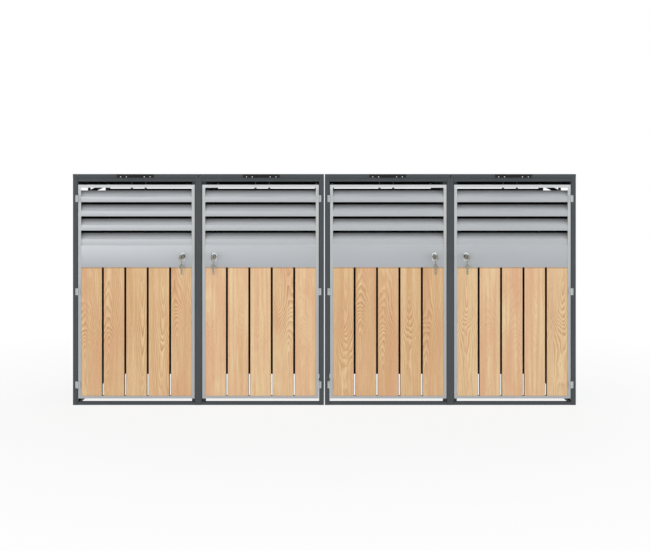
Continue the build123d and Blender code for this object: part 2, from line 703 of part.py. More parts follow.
def along_strut(shape, x):
    """Put a shape drawn along +Y from the strut's base on its tilted line."""
    return Pos(x, STRUT_BASE_DEPTH, STRUT_BASE_Z) * Rot(STRUT_TILT, 0, 0) * shape


def strut_eye(middle, hole):
    """Flat eye at one end of a strut, with cut corners and a hole along X."""
    half = STRUT_EYE_THICK / 2
    plate = block((-half, half), (middle - STRUT_EYE, middle + STRUT_EYE), (-STRUT_EYE, STRUT_EYE))
    plate = chamfer(plate.edges().filter_by(Axis.X), STRUT_EYE / 2)
    return plate - many_sided(hole, (-half, half), middle, 0, hole=True)


def strut_tube(x):
    """Gas cylinder with the bore for its rod and the eye that turns on the bracket stud."""
    start = STRUT_EYE - STRUT_NECK
    end = start + STRUT_TUBE_LENGTH
    body = many_sided(STRUT_TUBE, 0, (start, end), 0)
    body -= many_sided(STRUT_ROD + PIN_CLEARANCE, 0, (start + STRUT_END_WALL, end), 0, hole=True)
    return along_strut(body + strut_eye(0, STRUT_PIN + PIN_CLEARANCE), x)


def strut_rod(x):
    """Rod that slides in the cylinder, with the eye at the lid."""
    end = STRUT_LENGTH - STRUT_EYE + STRUT_NECK
    rod = many_sided(STRUT_ROD, 0, (STRUT_ROD_START, end), 0)
    return along_strut(rod + strut_eye(STRUT_LENGTH, ROD_EYE_HOLE), x)


def lifter():
    """Bent wire that hooks under the lid of a bin; its ends turn in the two eyes."""
    side = LIFTER_SPAN / 2
    end = side + LIFTER_EYE_GAP + LIFTER_PIVOT_LENGTH
    low = LIFTER_Z - LIFTER_DROP
    corners = [
        (LIFTER_X - end, LIFTER_SETBACK, LIFTER_Z),
        (LIFTER_X - side, LIFTER_SETBACK, LIFTER_Z),
        (LIFTER_X - side, LIFTER_SETBACK, low),
        (LIFTER_X + side, LIFTER_SETBACK, low),
        (LIFTER_X + side, LIFTER_SETBACK, LIFTER_Z),
        (LIFTER_X + end, LIFTER_SETBACK, LIFTER_Z),
    ]
    wire_end = Plane(origin=corners[0], z_dir=(1, 0, 0))
    wire = wire_end * RegularPolygon(LIFTER_WIRE, ROUND_SIDES)
    return sweep(wire, path=Polyline(*corners), transition=Transition.RIGHT)


def in_unit(shape, unit):
    """Move a shape drawn in the space of one unit to the left or the right unit."""
    return Pos(UNIT_LEFTS[unit], FRONT_Y, 0) * shape


def in_bay(shape, bay):
    """Move a shape drawn in the space of a bay to its place; even bays are mirror images."""
    unit = (bay - 1) // 2
    if bay % 2 == 0:
        shape = Pos(UNIT_WIDTH, 0, 0) * mirror(shape, about=Plane.YZ)
    return in_unit(shape, unit)


def save(name, shapes):
    """Write one node."""
    solids = []
    for shape in shapes:
        solids.extend(shape.solids())
    whole = solids[0] if len(solids) == 1 else Compound(children=solids)
    export_step(whole, f"parts/{name}.step")


def save_units():
    """The fixed nodes: frames, rails, walls and fixed hinge halves."""
    units = range(len(UNIT_LEFTS))
    save("front_frames", [in_unit(piece, unit) for unit in units for piece in front_frame()])
    save("rear_frames", [in_unit(piece, unit) for unit in units for piece in rear_frame()])
    rails = [in_unit(piece, unit) for unit in units for piece in side_rails()]
    for bay in BAYS:
        for side in strut_sides():
            rails.append(in_bay(strut_bracket(side["wall"], side["inward"]), bay))
    save("side_rails", rails)
    save("partitions", [in_bay(partition(), bay) for bay in (BAYS[0], BAYS[-1])])
    save("side_panels", [in_bay(side_panel(), bay) for bay in BAYS])
    save("rear_panels", [in_bay(rear_panel(), bay) for bay in BAYS])
    save("door_hinge_posts", [in_bay(door_hinge_post(z), bay) for bay in BAYS for z in HINGE_LEVELS])
    save("lid_hinge_posts", [in_bay(lid_hinge_post(*hinge), bay) for bay in BAYS for hinge in LID_HINGES])


def save_door(bay):
    """The nodes of one door and its lock."""
    def put(pieces):
        return [in_bay(piece, bay) for piece in pieces]

    save(f"door_{bay}_frame", put([door_frame()]))
    save(f"door_{bay}_louvres", put([louvre(index) for index in range(LOUVRE_COUNT)]))
    save(f"door_{bay}_lock_panel", put([lock_panel()]))
    save(f"door_{bay}_planks", put(planks()))
    save(f"door_{bay}_hinges", put([door_hinge_leaf(level) for level in HINGE_LEVELS]))
    save(f"door_{bay}_lock_housing", put([lock_housing()]))
    save(f"door_{bay}_lock_plug", put([lock_plug(), inserted_key()]))
    save(f"door_{bay}_key_ring", put([*key_rings(), spare_key()]))


def save_lid(bay):
    """The nodes of one lid, its struts and its lifter."""
    def put(pieces):
        return [in_bay(piece, bay) for piece in pieces]

    places = [side["x"] for side in strut_sides()]
    save(f"lid_{bay}_panel", put([lid_panel()]))
    save(f"lid_{bay}_grip", put([lid_grip()]))
    save(f"lid_{bay}_strut_tubes", put([strut_tube(x) for x in places]))
    save(f"lid_{bay}_strut_rods", put([strut_rod(x) for x in places]))
    save(f"lid_{bay}_lifter", put([lifter()]))


os.makedirs("parts", exist_ok=True)
save_units()
for bay_number in BAYS:
    save_door(bay_number)
    save_lid(bay_number)
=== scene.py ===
# %% [markdown]
# # A bin store for four wheeled bins
# The CAD model holds every tube, sheet, plank, hinge and lock in its real place. This scene loads it,
# sets up the view and the light of a product picture, gives each surface a finish made of nodes, and
# adds the small fasteners that hold the real store together and the sleeves of its lid lifters. Nothing
# of the CAD model is moved.

# %% Load the CAD model
import json
import math

import bmesh
import bpy
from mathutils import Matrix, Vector


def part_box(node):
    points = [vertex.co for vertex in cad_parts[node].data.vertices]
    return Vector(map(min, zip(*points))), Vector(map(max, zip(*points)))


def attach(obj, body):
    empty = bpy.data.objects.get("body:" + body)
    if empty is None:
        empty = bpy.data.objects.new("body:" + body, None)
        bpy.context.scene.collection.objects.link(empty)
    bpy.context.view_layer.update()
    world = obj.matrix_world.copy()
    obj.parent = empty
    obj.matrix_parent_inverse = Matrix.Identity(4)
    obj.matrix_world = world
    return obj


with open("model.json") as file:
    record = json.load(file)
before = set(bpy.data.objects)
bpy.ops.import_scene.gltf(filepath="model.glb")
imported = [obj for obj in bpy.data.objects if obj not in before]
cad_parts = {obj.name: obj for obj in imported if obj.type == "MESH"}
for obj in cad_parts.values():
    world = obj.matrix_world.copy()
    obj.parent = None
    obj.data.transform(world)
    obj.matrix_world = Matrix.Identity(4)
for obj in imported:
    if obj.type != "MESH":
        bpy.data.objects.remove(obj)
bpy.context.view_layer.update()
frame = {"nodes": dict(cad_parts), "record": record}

# %% [markdown]
# ## Places that the later steps share
# The store is a row of four bays. Each bay has a door and a lid, and every second bay is a mirror image.
# The boxes of the CAD nodes give the places that the camera, the finishes and the fasteners need, so
# little here repeats the sizes of the CAD model.

# %% Measure the bays
BAYS = (1, 2, 3, 4)
front_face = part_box("front_frames")[0][1]
doors = {bay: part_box(f"door_{bay}_frame") for bay in BAYS}
lids = {bay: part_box(f"lid_{bay}_panel") for bay in BAYS}
hinged_left = {bay: bay % 2 == 1 for bay in BAYS}
print("front face at", round(front_face, 4), "m, doors", round(doors[1][1][0] - doors[1][0][0], 4), "m wide")

# %% [markdown]
# ## Camera
# The picture is a level front view with upright lines that stay parallel. A tilted camera would make the
# posts lean, so the camera looks straight along +Y from eye height, and a lens shift slides the frame
# down to the store, as a view camera does. The focal length follows from the width of the view at the
# front faces of the posts. The shift is given in pixels of the picture.

# %% Set up the camera
IMAGE_WIDTH = 650
EYE_HEIGHT = 1.06
VIEW_DISTANCE = 5.2
VIEW_WIDTH = 3.376
SENSOR_WIDTH = 36.0
EYE_RIGHT_OF_CENTRE = -0.6
EYE_ABOVE_CENTRE = 74.5

bpy.ops.object.select_all(action="DESELECT")
bpy.ops.object.camera_add(
    location=(0, front_face - VIEW_DISTANCE, EYE_HEIGHT),
    rotation=(math.radians(90), 0, 0),
)
camera = bpy.context.object
camera.data.sensor_width = SENSOR_WIDTH
camera.data.lens = SENSOR_WIDTH * VIEW_DISTANCE / VIEW_WIDTH
camera.data.shift_x = -EYE_RIGHT_OF_CENTRE / IMAGE_WIDTH
camera.data.shift_y = -EYE_ABOVE_CENTRE / IMAGE_WIDTH
bpy.context.scene.camera = camera
bpy.context.scene.view_settings.view_transform = "Standard"
print("focal length", round(camera.data.lens, 2), "mm")

# %% [markdown]
# ## Helpers for node trees
# A finish is a small network of nodes. A few helpers keep the later cells short. They feed a socket with
# a link or a number, calculate with numbers and vectors, split a vector into its axes and join it again,
# mix colours, and add noise. Most add one or two nodes and give the result as a socket to link on.

# %% Number and vector helpers
def feed(tree, socket, value):
    """Link a socket to another one, or set its number, vector or colour."""
    if isinstance(value, bpy.types.NodeSocket):
        tree.links.new(value, socket)
    else:
        socket.default_value = value


def feed_all(tree, node, values):
    """Feed a node's inputs in their order; gives its outputs."""
    for socket, value in zip(node.inputs, values):
        feed(tree, socket, value)
    return node.outputs


def calculate(tree, operation, *values):
    """Math node; gives its result."""
    node = tree.nodes.new("ShaderNodeMath")
    node.operation = operation
    return feed_all(tree, node, values)[0]


def weigh(tree, first, second, share):
    """Mean of two values, in which the first has a given share."""
    rest = calculate(tree, "MULTIPLY", second, 1 - share)
    return calculate(tree, "MULTIPLY_ADD", first, share, rest)


def remap(tree, value, low, high, new_low=0.0, new_high=1.0):
    """Map Range node that keeps within its limits; gives its result."""
    node = tree.nodes.new("ShaderNodeMapRange")
    return feed_all(tree, node, (value, low, high, new_low, new_high))[0]


def calculate_vector(tree, operation, *vectors):
    """Vector Math node; gives its outputs."""
    node = tree.nodes.new("ShaderNodeVectorMath")
    node.operation = operation
    return feed_all(tree, node, vectors)


def split_axes(tree, vector):
    """Outputs X, Y and Z of a vector."""
    return feed_all(tree, tree.nodes.new("ShaderNodeSeparateXYZ"), [vector])


def join_axes(tree, x, y, z):
    """Vector of three values."""
    return feed_all(tree, tree.nodes.new("ShaderNodeCombineXYZ"), (x, y, z))[0]


print("number helpers ready")

# %% Colour and texture helpers
MIX_FACTOR = 0
MIX_FIRST_COLOUR = 6
MIX_SECOND_COLOUR = 7
MIX_COLOUR_RESULT = 2


def mix_colour(tree, factor, first, second):
    """Colour between two others; the Mix node keeps its colours in sockets of their own."""
    node = tree.nodes.new("ShaderNodeMix")
    node.data_type = "RGBA"
    feed(tree, node.inputs[MIX_FACTOR], factor)
    feed(tree, node.inputs[MIX_FIRST_COLOUR], first)
    feed(tree, node.inputs[MIX_SECOND_COLOUR], second)
    return node.outputs[MIX_COLOUR_RESULT]


def noise(tree, vector, scale, detail=2.0, roughness=0.5):
    """Noise texture on a vector; gives its value from 0 to 1."""
    node = tree.nodes.new("ShaderNodeTexNoise")
    feed(tree, node.inputs["Vector"], vector)
    feed(tree, node.inputs["Scale"], scale)
    node.inputs["Detail"].default_value = detail
    node.inputs["Roughness"].default_value = roughness
    return node.outputs[0]


def display_colour(red, green, blue):
    """Colour as a screen shows it, 0 to 255, turned by the standard curve into linear values."""
    shares = [value / 255 for value in (red, green, blue)]
    linear = [s / 12.92 if s <= 0.04045 else ((s + 0.055) / 1.055) ** 2.4 for s in shares]
    return (*linear, 1.0)


print("white is", display_colour(255, 255, 255))

# %% [markdown]
# ## White studio
# The store stands free on white. The world shows plain white to the camera, to mirror-like surfaces and
# through glass, and gives a softer, slightly cool light to everything else, so the white does not come
# from extra light on the object. The floor uses the same two helpers.

# %% Helpers for the white studio
def sharp_rays(tree):
    """1 for rays that show a picture of what they meet, 0 for rays that only gather light."""
    path = tree.nodes.new("ShaderNodeLightPath")
    sharp = calculate(tree, "MAXIMUM", path.outputs["Is Camera Ray"], path.outputs["Is Glossy Ray"])
    return calculate(tree, "MAXIMUM", sharp, path.outputs["Is Transmission Ray"])


def mix_shader(tree, share, first, second):
    """Shader between two others."""
    return feed_all(tree, tree.nodes.new("ShaderNodeMixShader"), (share, first, second))[0]


print("studio helpers ready")

# %% World
STUDIO_WHITE = (1.0, 1.0, 1.0, 1.0)
AMBIENT_TINT = (0.96, 0.98, 1.0, 1.0)
AMBIENT = 0.45

world = bpy.data.worlds.new("white_studio")
world.use_nodes = True
bpy.context.scene.world = world
tree = world.node_tree
tree.nodes.clear()
seen = tree.nodes.new("ShaderNodeBackground")
seen.inputs["Color"].default_value = STUDIO_WHITE
soft = tree.nodes.new("ShaderNodeBackground")
soft.inputs["Color"].default_value = AMBIENT_TINT
soft.inputs["Strength"].default_value = AMBIENT
output = tree.nodes.new("ShaderNodeOutputWorld")
feed(tree, output.inputs[0], mix_shader(tree, sharp_rays(tree), soft.outputs[0], seen.outputs[0]))
print("ambient strength", AMBIENT)

# %% [markdown]
# ## Floor
# The floor is a wide white sheet. Most of what the camera sees of it glows plain white, so that it melts
# into the background, and the rest is an ordinary matt surface that keeps a faint shadow of the store.
# Away from the store the glow grows until the floor is plain white, so that no horizon shows.

# %% Floor
FLOOR_SIZE = 80.0
FLOOR_TONE = (0.93, 0.93, 0.93, 1.0)
FLOOR_ROUGHNESS = 0.9
FLOOR_GLOW = 0.88
SHADOW_START = 1.4
SHADOW_END = 3.2

bpy.ops.object.select_all(action="DESELECT")
bpy.ops.mesh.primitive_plane_add(size=FLOOR_SIZE)
floor = bpy.context.object
floor.name = "floor"
floor_paint = bpy.data.materials.new("floor_white")
floor_paint.use_nodes = True
tree = floor_paint.node_tree
matt = tree.nodes["Principled BSDF"]
matt.inputs["Base Color"].default_value = FLOOR_TONE
matt.inputs["Roughness"].default_value = FLOOR_ROUGHNESS
matt.inputs["Specular IOR Level"].default_value = 0.0
glow = tree.nodes.new("ShaderNodeEmission")
coordinates = tree.nodes.new("ShaderNodeTexCoord")
from_middle = calculate_vector(tree, "LENGTH", coordinates.outputs["Object"])["Value"]
glow_share = remap(tree, from_middle, SHADOW_START, SHADOW_END, FLOOR_GLOW, 1.0)
glow_share = calculate(tree, "MULTIPLY", sharp_rays(tree), glow_share)
surface = mix_shader(tree, glow_share, matt.outputs[0], glow.outputs[0])
feed(tree, tree.nodes["Material Output"].inputs["Surface"], surface)
floor.data.materials.append(floor_paint)
print("floor", FLOOR_SIZE, "m wide")

# %% [markdown]
# ## Lamps
# One broad soft lamp stands near the camera, a little to its left, so that all four bays get the same
# light. Two weaker ones at the sides keep the ends from going dull, and one behind lights the floor that
# shows through the slots. All are large, because the picture shows no hard shadows, and they stay out of
# mirror images, so that metal shows the even white of the studio and no bright patches.

# %% Lamps
MIDDLE_OF_STORE = (0, 0, 0.6)
LAMPS = {
    "lamp_front": {"place": (-0.7, -6.2, 0.75), "size": (3.6, 1.4), "power": 132},
    "lamp_left": {"place": (-5.0, -4.5, 0.75), "size": (3.0, 1.4), "power": 42},
    "lamp_right": {"place": (5.0, -4.5, 0.75), "size": (3.0, 1.4), "power": 52},
    "lamp_behind": {"place": (1.0, 6.0, 4.5), "size": (4.0, 3.0), "power": 160},
}


def soft_lamp(name, place, size, power):
    """Large rectangular lamp that points at the middle of the store."""
    bpy.ops.object.select_all(action="DESELECT")
    bpy.ops.object.light_add(type="AREA", location=place)
    lamp = bpy.context.object
    lamp.name = name
    lamp.data.shape = "RECTANGLE"
    lamp.data.size, lamp.data.size_y = size
    lamp.data.energy = power
    lamp.visible_glossy = False
    aim = Vector(MIDDLE_OF_STORE) - Vector(place)
    lamp.rotation_euler = aim.to_track_quat("-Z", "Y").to_euler()


for name, values in LAMPS.items():
    soft_lamp(name, **values)
print("lamps", sorted(LAMPS))

# %% [markdown]
# ## Shared effects
# Several finishes need the same things: the fine orange peel of a powder coat, the cloudy tone of plated
# steel, and dust that settles on upward faces. Each is a node group that is built once and placed in the
# materials with its own values. They read Object coordinates, which here are metres in the real store.

# %% Group helper
VECTOR = "NodeSocketVector"
NUMBER = "NodeSocketFloat"
COLOUR = "NodeSocketColor"


def new_group(name, inputs, outputs):
    """Empty shader group with named sockets; gives the group, its inputs and its outputs."""
    group = bpy.data.node_groups.new(name, "ShaderNodeTree")
    for title, kind in inputs:
        group.interface.new_socket(title, in_out="INPUT", socket_type=kind)
    for title, kind in outputs:
        group.interface.new_socket(title, in_out="OUTPUT", socket_type=kind)
    start = group.nodes.new("NodeGroupInput")
    end = group.nodes.new("NodeGroupOutput")
    return group, start.outputs, end.inputs


print("group helper ready")

# %% Powder coat group
CLOUD_SCALE = 2.6
SPECK_SCALE = 900.0
SPECK_SHARE = 0.35
CLOUD_LEVELS = (0.3, 0.7)

coat_group, given, result = new_group(
    "powder_coat",
    [("Vector", VECTOR), ("Peel Scale", NUMBER)],
    [("Height", NUMBER), ("Cloud", NUMBER)],
)
peel = noise(coat_group, given["Vector"], given["Peel Scale"], detail=3.0)
feed(coat_group, result["Height"], peel)
broad = noise(coat_group, given["Vector"], CLOUD_SCALE, detail=4.0, roughness=0.55)
speck = noise(coat_group, given["Vector"], SPECK_SCALE, detail=1.0)
cloud = weigh(coat_group, speck, broad, SPECK_SHARE)
feed(coat_group, result["Cloud"], remap(coat_group, cloud, *CLOUD_LEVELS))
print("powder coat group has", len(coat_group.nodes), "nodes")

# %% Plated steel group
SMEAR_SCALE = 35.0
SPANGLE_SHARE = 0.4
TONE_LEVELS = (0.2, 0.8)
GRIT_SCALE = 1500.0

plate_group, given, result = new_group(
    "plated_steel",
    [("Vector", VECTOR), ("Spangle Scale", NUMBER)],
    [("Height", NUMBER), ("Tone", NUMBER)],
)
cells = plate_group.nodes.new("ShaderNodeTexVoronoi")
feed(plate_group, cells.inputs["Vector"], given["Vector"])
feed(plate_group, cells.inputs["Scale"], given["Spangle Scale"])
spangle = plate_group.nodes.new("ShaderNodeSeparateColor")
feed(plate_group, spangle.inputs[0], cells.outputs["Color"])
smear = noise(plate_group, given["Vector"], SMEAR_SCALE, detail=4.0, roughness=0.6)
tone = weigh(plate_group, spangle.outputs[0], smear, SPANGLE_SHARE)
feed(plate_group, result["Tone"], remap(plate_group, tone, *TONE_LEVELS))
feed(plate_group, result["Height"], noise(plate_group, given["Vector"], GRIT_SCALE))
print("plated steel group has", len(plate_group.nodes), "nodes")

# %% Settled dust group
LEVEL_ENOUGH = 0.55
PATCH_SCALE = 9.0
PATCH_LEVELS = (0.35, 0.75)
THINNEST_PATCH = 0.1

dust_group, given, result = new_group(
    "settled_dust",
    [("Vector", VECTOR), ("Normal", VECTOR)],
    [("Mask", NUMBER)],
)
upward = remap(dust_group, split_axes(dust_group, given["Normal"])["Z"], LEVEL_ENOUGH, 1.0)
patches = noise(dust_group, given["Vector"], PATCH_SCALE, detail=5.0, roughness=0.65)
patches = remap(dust_group, patches, *PATCH_LEVELS, THINNEST_PATCH, 1.0)
feed(dust_group, result["Mask"], calculate(dust_group, "MULTIPLY", upward, patches))
print("settled dust group has", len(dust_group.nodes), "nodes")

# %% [markdown]
# ## Faces that look inside
# Walls, rails and lids are powder coated outside, and inside they get a dark colour that is painted shade;
# each is one CAD node. Picking the inner faces by hand would need a second material on each of them. One
# test
# does it for all: a face looks inside if its normal points towards the middle of the unit that it belongs
# to.

# %% Inside faces group
UNIT_MIDDLE = (doors[3][0][0] + doors[4][1][0]) / 2
INSIDE_DEPTH = 0.0
INSIDE_LEVEL = 0.6
SOFT_EDGE = 0.05

inside_group, given, result = new_group(
    "inside_faces",
    [("Vector", VECTOR), ("Normal", VECTOR)],
    [("Mask", NUMBER)],
)
side = calculate(inside_group, "SIGN", split_axes(inside_group, given["Vector"])["X"])
middle_x = calculate(inside_group, "MULTIPLY", side, UNIT_MIDDLE)
middle = join_axes(inside_group, middle_x, INSIDE_DEPTH, INSIDE_LEVEL)
inward = calculate_vector(inside_group, "SUBTRACT", middle, given["Vector"])["Vector"]
facing = calculate_vector(inside_group, "DOT_PRODUCT", inward, given["Normal"])["Value"]
feed(inside_group, result["Mask"], remap(inside_group, facing, 0.0, SOFT_EDGE))
print("inside faces group, middle of a unit at", round(UNIT_MIDDLE, 4), "m")

# %% [markdown]
# ## Slopes of the louvres
# Each louvre is a slope that leads down to an upright face, and the next one starts a fixed pitch below.
# The slopes face the sky, so they get a painted lighter tone, and their upper part, which lies under the
# slat above, gets painted shade. The faces carry a painted sheen that fades towards their lower edge. The
# group finds the place on a louvre from the height alone, and a slope by how far its normal leans up.

# %% Shaded slopes group
LOUVRE_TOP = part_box("door_1_louvres")[1][2]
LOUVRE_PITCH = 0.074
LOUVRE_COUNT = 4
SLOPE_RISE = 0.0335
SLAT_FACE = 0.0275
STEEPEST_LEAN = 0.4
FLATTEST_LEAN = 0.95
SLOPE_SHADE_SHARE = 0.75
SLOPE_SHADE_REACH = 0.62
SHEEN_FADE_SHARE = 0.9

slope_group, given, result = new_group(
    "shaded_slopes",
    [("Vector", VECTOR), ("Normal", VECTOR)],
    [("Slope", NUMBER), ("Shade", NUMBER), ("Sheen Fade", NUMBER)],
)
height = split_axes(slope_group, given["Vector"])["Z"]
lean = split_axes(slope_group, given["Normal"])["Z"]
below_top = calculate(slope_group, "SUBTRACT", LOUVRE_TOP, height)
turn = calculate(slope_group, "FRACT", calculate(slope_group, "DIVIDE", below_top, LOUVRE_PITCH))
down_slope = calculate(slope_group, "MULTIPLY", turn, LOUVRE_PITCH / SLOPE_RISE)
leans_up = calculate(slope_group, "GREATER_THAN", lean, STEEPEST_LEAN)
not_level = calculate(slope_group, "LESS_THAN", lean, FLATTEST_LEAN)
sloping = calculate(slope_group, "MULTIPLY", leans_up, not_level)
feed(slope_group, result["Slope"], sloping)
# Painted shade on the upper part of each slope, under the slat above.
slope_shade = remap(slope_group, down_slope, 0.0, SLOPE_SHADE_REACH, SLOPE_SHADE_SHARE, 0.0)
feed(slope_group, result["Shade"], calculate(slope_group, "MULTIPLY", slope_shade, sloping))
# Painted sheen of the faces, fading towards their lower edge.
down_face = remap(slope_group, down_slope, 1.0, 1.0 + SLAT_FACE / SLOPE_RISE, 0.0, SHEEN_FADE_SHARE)
lowest_fold = (LOUVRE_COUNT - 1) * LOUVRE_PITCH + SLOPE_RISE + SLAT_FACE
louvred = calculate(slope_group, "LESS_THAN", below_top, lowest_fold)
feed(slope_group, result["Sheen Fade"], calculate(slope_group, "MULTIPLY", down_face, louvred))
print("sheltered slopes group has", len(slope_group.nodes), "nodes")

# %% [markdown]
# ## Paint
# The frame, walls and lids are powder coated in matt anthracite, and the doors in a satin silver. A coat
# is thick and slightly lumpy, which a fine bump shows in glancing light. The tone wanders a little, as it
# does on large sheets, and dust lies on what faces up. One function makes every coat from its own values.

# %% Material helpers
def place_group(tree, group, **values):
    """Put a group in a material and feed its inputs; spaces in their names are written as _."""
    node = tree.nodes.new("ShaderNodeGroup")
    node.node_tree = group
    for name, value in values.items():
        feed(tree, node.inputs[name.replace("_", " ")], value)
    return node.outputs


def start_material(name):
    """New material; gives it, its tree, its shader and its texture coordinates."""
    material = bpy.data.materials.new(name)
    material.use_nodes = True
    tree = material.node_tree
    coordinates = tree.nodes.new("ShaderNodeTexCoord")
    return material, tree, tree.nodes["Principled BSDF"], coordinates.outputs


def add_bump(tree, shader, height, strength, distance):
    """Bump from a height into the shader's normal."""
    bump = tree.nodes.new("ShaderNodeBump")
    bump.inputs["Strength"].default_value = strength
    bump.inputs["Distance"].default_value = distance
    feed(tree, bump.inputs["Height"], height)
    feed(tree, shader.inputs["Normal"], bump.outputs[0])


finishes = {}
print("material helpers ready")

# %% Painted steel
DUST = display_colour(186, 184, 178)
PEEL_BUMP = {"strength": 0.12, "distance": 0.0004}


def painted_steel(
    name, dark, light, roughness, gloss, peel_scale, dust, flake=0.0, fades=(), inside=None, louvre_painted_light=()
):
    """Powder coat between two tones, with orange peel and shares of dust and of metal flake.

    A fade is (axis, start, end, colour): the coat takes on that colour from the start to the end place.
    The fades are painted light and shade. An inside colour is painted shade that takes the place of the
    coat on the faces that look into the store. The louvre tones are painted light and shade: the silver that
    the faces turn to as their painted sheen fades towards the lower edge, the painted lighter tone of the
    slopes, and the painted shade on their upper part.
    """
    material, tree, shader, coordinates = start_material(name)
    surface = {"Vector": coordinates["Object"], "Normal": coordinates["Normal"]}
    coat = place_group(tree, coat_group, Vector=coordinates["Object"], Peel_Scale=peel_scale)
    colour = mix_colour(tree, coat["Cloud"], dark, light)
    place = split_axes(tree, coordinates["Object"])
    # The fades paint light and shade into the coat.
    for axis, start, end, end_colour in fades:
        low, high = sorted((start, end))
        shares = (1.0, 0.0) if end < start else (0.0, 1.0)
        colour = mix_colour(tree, remap(tree, place[axis], low, high, *shares), colour, end_colour)
    # Painted light and shade of the louvres: fading sheen on the faces, lighter slopes, shade under the slat
    # above.
    if louvre_painted_light:
        louvre_shading = place_group(tree, slope_group, **surface)
        for part, tone in zip(("Sheen Fade", "Slope", "Shade"), louvre_painted_light):
            colour = mix_colour(tree, louvre_shading[part], colour, tone)
    # Painted shade on the faces that look into the store.
    if inside:
        bare = place_group(tree, inside_group, **surface)
        colour = mix_colour(tree, bare["Mask"], colour, inside)
    settled = place_group(tree, dust_group, **surface)
    covered = calculate(tree, "MULTIPLY", settled["Mask"], dust)
    feed(tree, shader.inputs["Base Color"], mix_colour(tree, covered, colour, DUST))
    feed(tree, shader.inputs["Roughness"], remap(tree, coat["Cloud"], 0.0, 1.0, *roughness))
    shader.inputs["Specular IOR Level"].default_value = gloss
    shader.inputs["Metallic"].default_value = flake
    add_bump(tree, shader, coat["Height"], **PEEL_BUMP)
    return material


print("dust colour", [round(value, 3) for value in DUST])

# %% [markdown]
# ## Dark coats
# The frame is anthracite. Walls, rails and lids are the same outside and get dark painted shade inside. The
# lid grips are black, and this black is painted shade under their lip. The strut tubes and the rubber
# sleeves are black too, and shine a little more.

# %% Dark coats
ANTHRACITE = {
    "dark": display_colour(70, 74, 77),
    "light": display_colour(78, 82, 85),
    "roughness": (0.5, 0.62),
    "gloss": 0.2,
    "peel_scale": 650.0,
    "dust": 0.1,
}
# The black of the grips is painted shade, standing in for the shade under their lip.
GRIP_SHADE_BLACK = {
    **ANTHRACITE,
    "dark": display_colour(30, 32, 34),
    "light": display_colour(40, 42, 44),
    "roughness": (0.45, 0.6),
    "dust": 0.16,
}
STRUT_BLACK = {
    "dark": display_colour(24, 24, 26),
    "light": display_colour(36, 37, 39),
    "roughness": (0.28, 0.4),
    "gloss": 0.5,
    "peel_scale": 500.0,
    "dust": 0.1,
}
# Painted shade for the faces that look into the store.
INSIDE_SHADE = display_colour(28, 29, 31)

finishes["anthracite"] = painted_steel("anthracite_coat", **ANTHRACITE)
finishes["shaded_inside"] = painted_steel("shaded_inside_coat", **ANTHRACITE, inside=INSIDE_SHADE)
finishes["grip_shade"] = painted_steel("grip_shade_coat", **GRIP_SHADE_BLACK)
finishes["strut_black"] = painted_steel("strut_black_coat", **STRUT_BLACK)
print("dark coats", sorted(finishes))

# %% [markdown]
# ## Silver coats
# The silver holds metal flake, so it mirrors a part of what it sees. Louvres and lock panels get a painted
# sheen that grows towards the left end of the row. The lock panels get painted shade towards their lower
# edge, a painted reflection of the ground in the flake. The door frames have a plainer silver with painted
# light that grows brighter towards their top, and a painted highlight on the top rail. So each of the three
# gets a variant with its own fades.

# %% Silver coats
SILVER = {
    "dark": display_colour(179, 183, 186),
    "light": display_colour(190, 193, 196),
    "roughness": (0.38, 0.5),
    "gloss": 0.35,
    "peel_scale": 900.0,
    "dust": 0.1,
    "flake": 0.3,
}
FRAME_SILVER = {**SILVER, "dark": display_colour(172, 174, 175), "light": display_colour(182, 184, 185)}
# Painted light and shade of the louvres: the silver of a face without its painted sheen, the painted lighter
# tone of the slopes, and the painted shade on their upper part.
LOUVRE_PAINTED_LIGHT = (display_colour(180, 184, 187), display_colour(210, 213, 216), display_colour(92, 95, 97))
PANEL_FADE_RISE = 0.1
FRAME_FADE_LEVELS = (0.5, 1.0)
HEAD_RAIL_START = 0.03
HEAD_RAIL_FULL = 0.015

row_left = doors[1][0][0]
door_head = doors[1][1][2]
panel_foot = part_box("door_1_lock_panel")[0][2]
# Painted light: a painted sheen towards the left end of the row, painted shade towards the foot of the lock
# panels, painted light towards the top of the door frames and a painted highlight on their top rail.
painted_sheen = ("X", 0.0, row_left, display_colour(207, 210, 213))
painted_panel_shade = ("Z", panel_foot + PANEL_FADE_RISE, panel_foot, display_colour(174, 178, 182))
painted_frame_light = ("Z", *FRAME_FADE_LEVELS, display_colour(194, 196, 196))
painted_rail_highlight = ("Z", door_head - HEAD_RAIL_START, door_head - HEAD_RAIL_FULL, display_colour(205, 208, 210))
finishes["silver"] = painted_steel("silver_coat", **SILVER, fades=[painted_sheen], louvre_painted_light=LOUVRE_PAINTED_LIGHT)
finishes["silver_panel"] = painted_steel(
    "silver_panel_coat", **SILVER, fades=[painted_sheen, painted_panel_shade], louvre_painted_light=LOUVRE_PAINTED_LIGHT
)
finishes["silver_frame"] = painted_steel("silver_frame_coat", **FRAME_SILVER, fades=[painted_frame_light, painted_rail_highlight])
print("painted finishes", sorted(finishes))

# %% [markdown]
# ## Bare and plated metal
# Hinges, lifters and most screws are zinc plated and show a faint spangle. The lock is chromed, its keys
# are nickel plated, and the strut rods and the screws of the lid grips are polished. They differ in tone,
# in spangle size and in how sharply they mirror the studio. Each row below gives the darkest and the
# lightest tone, the roughness at these two, and the scale of the spangle.

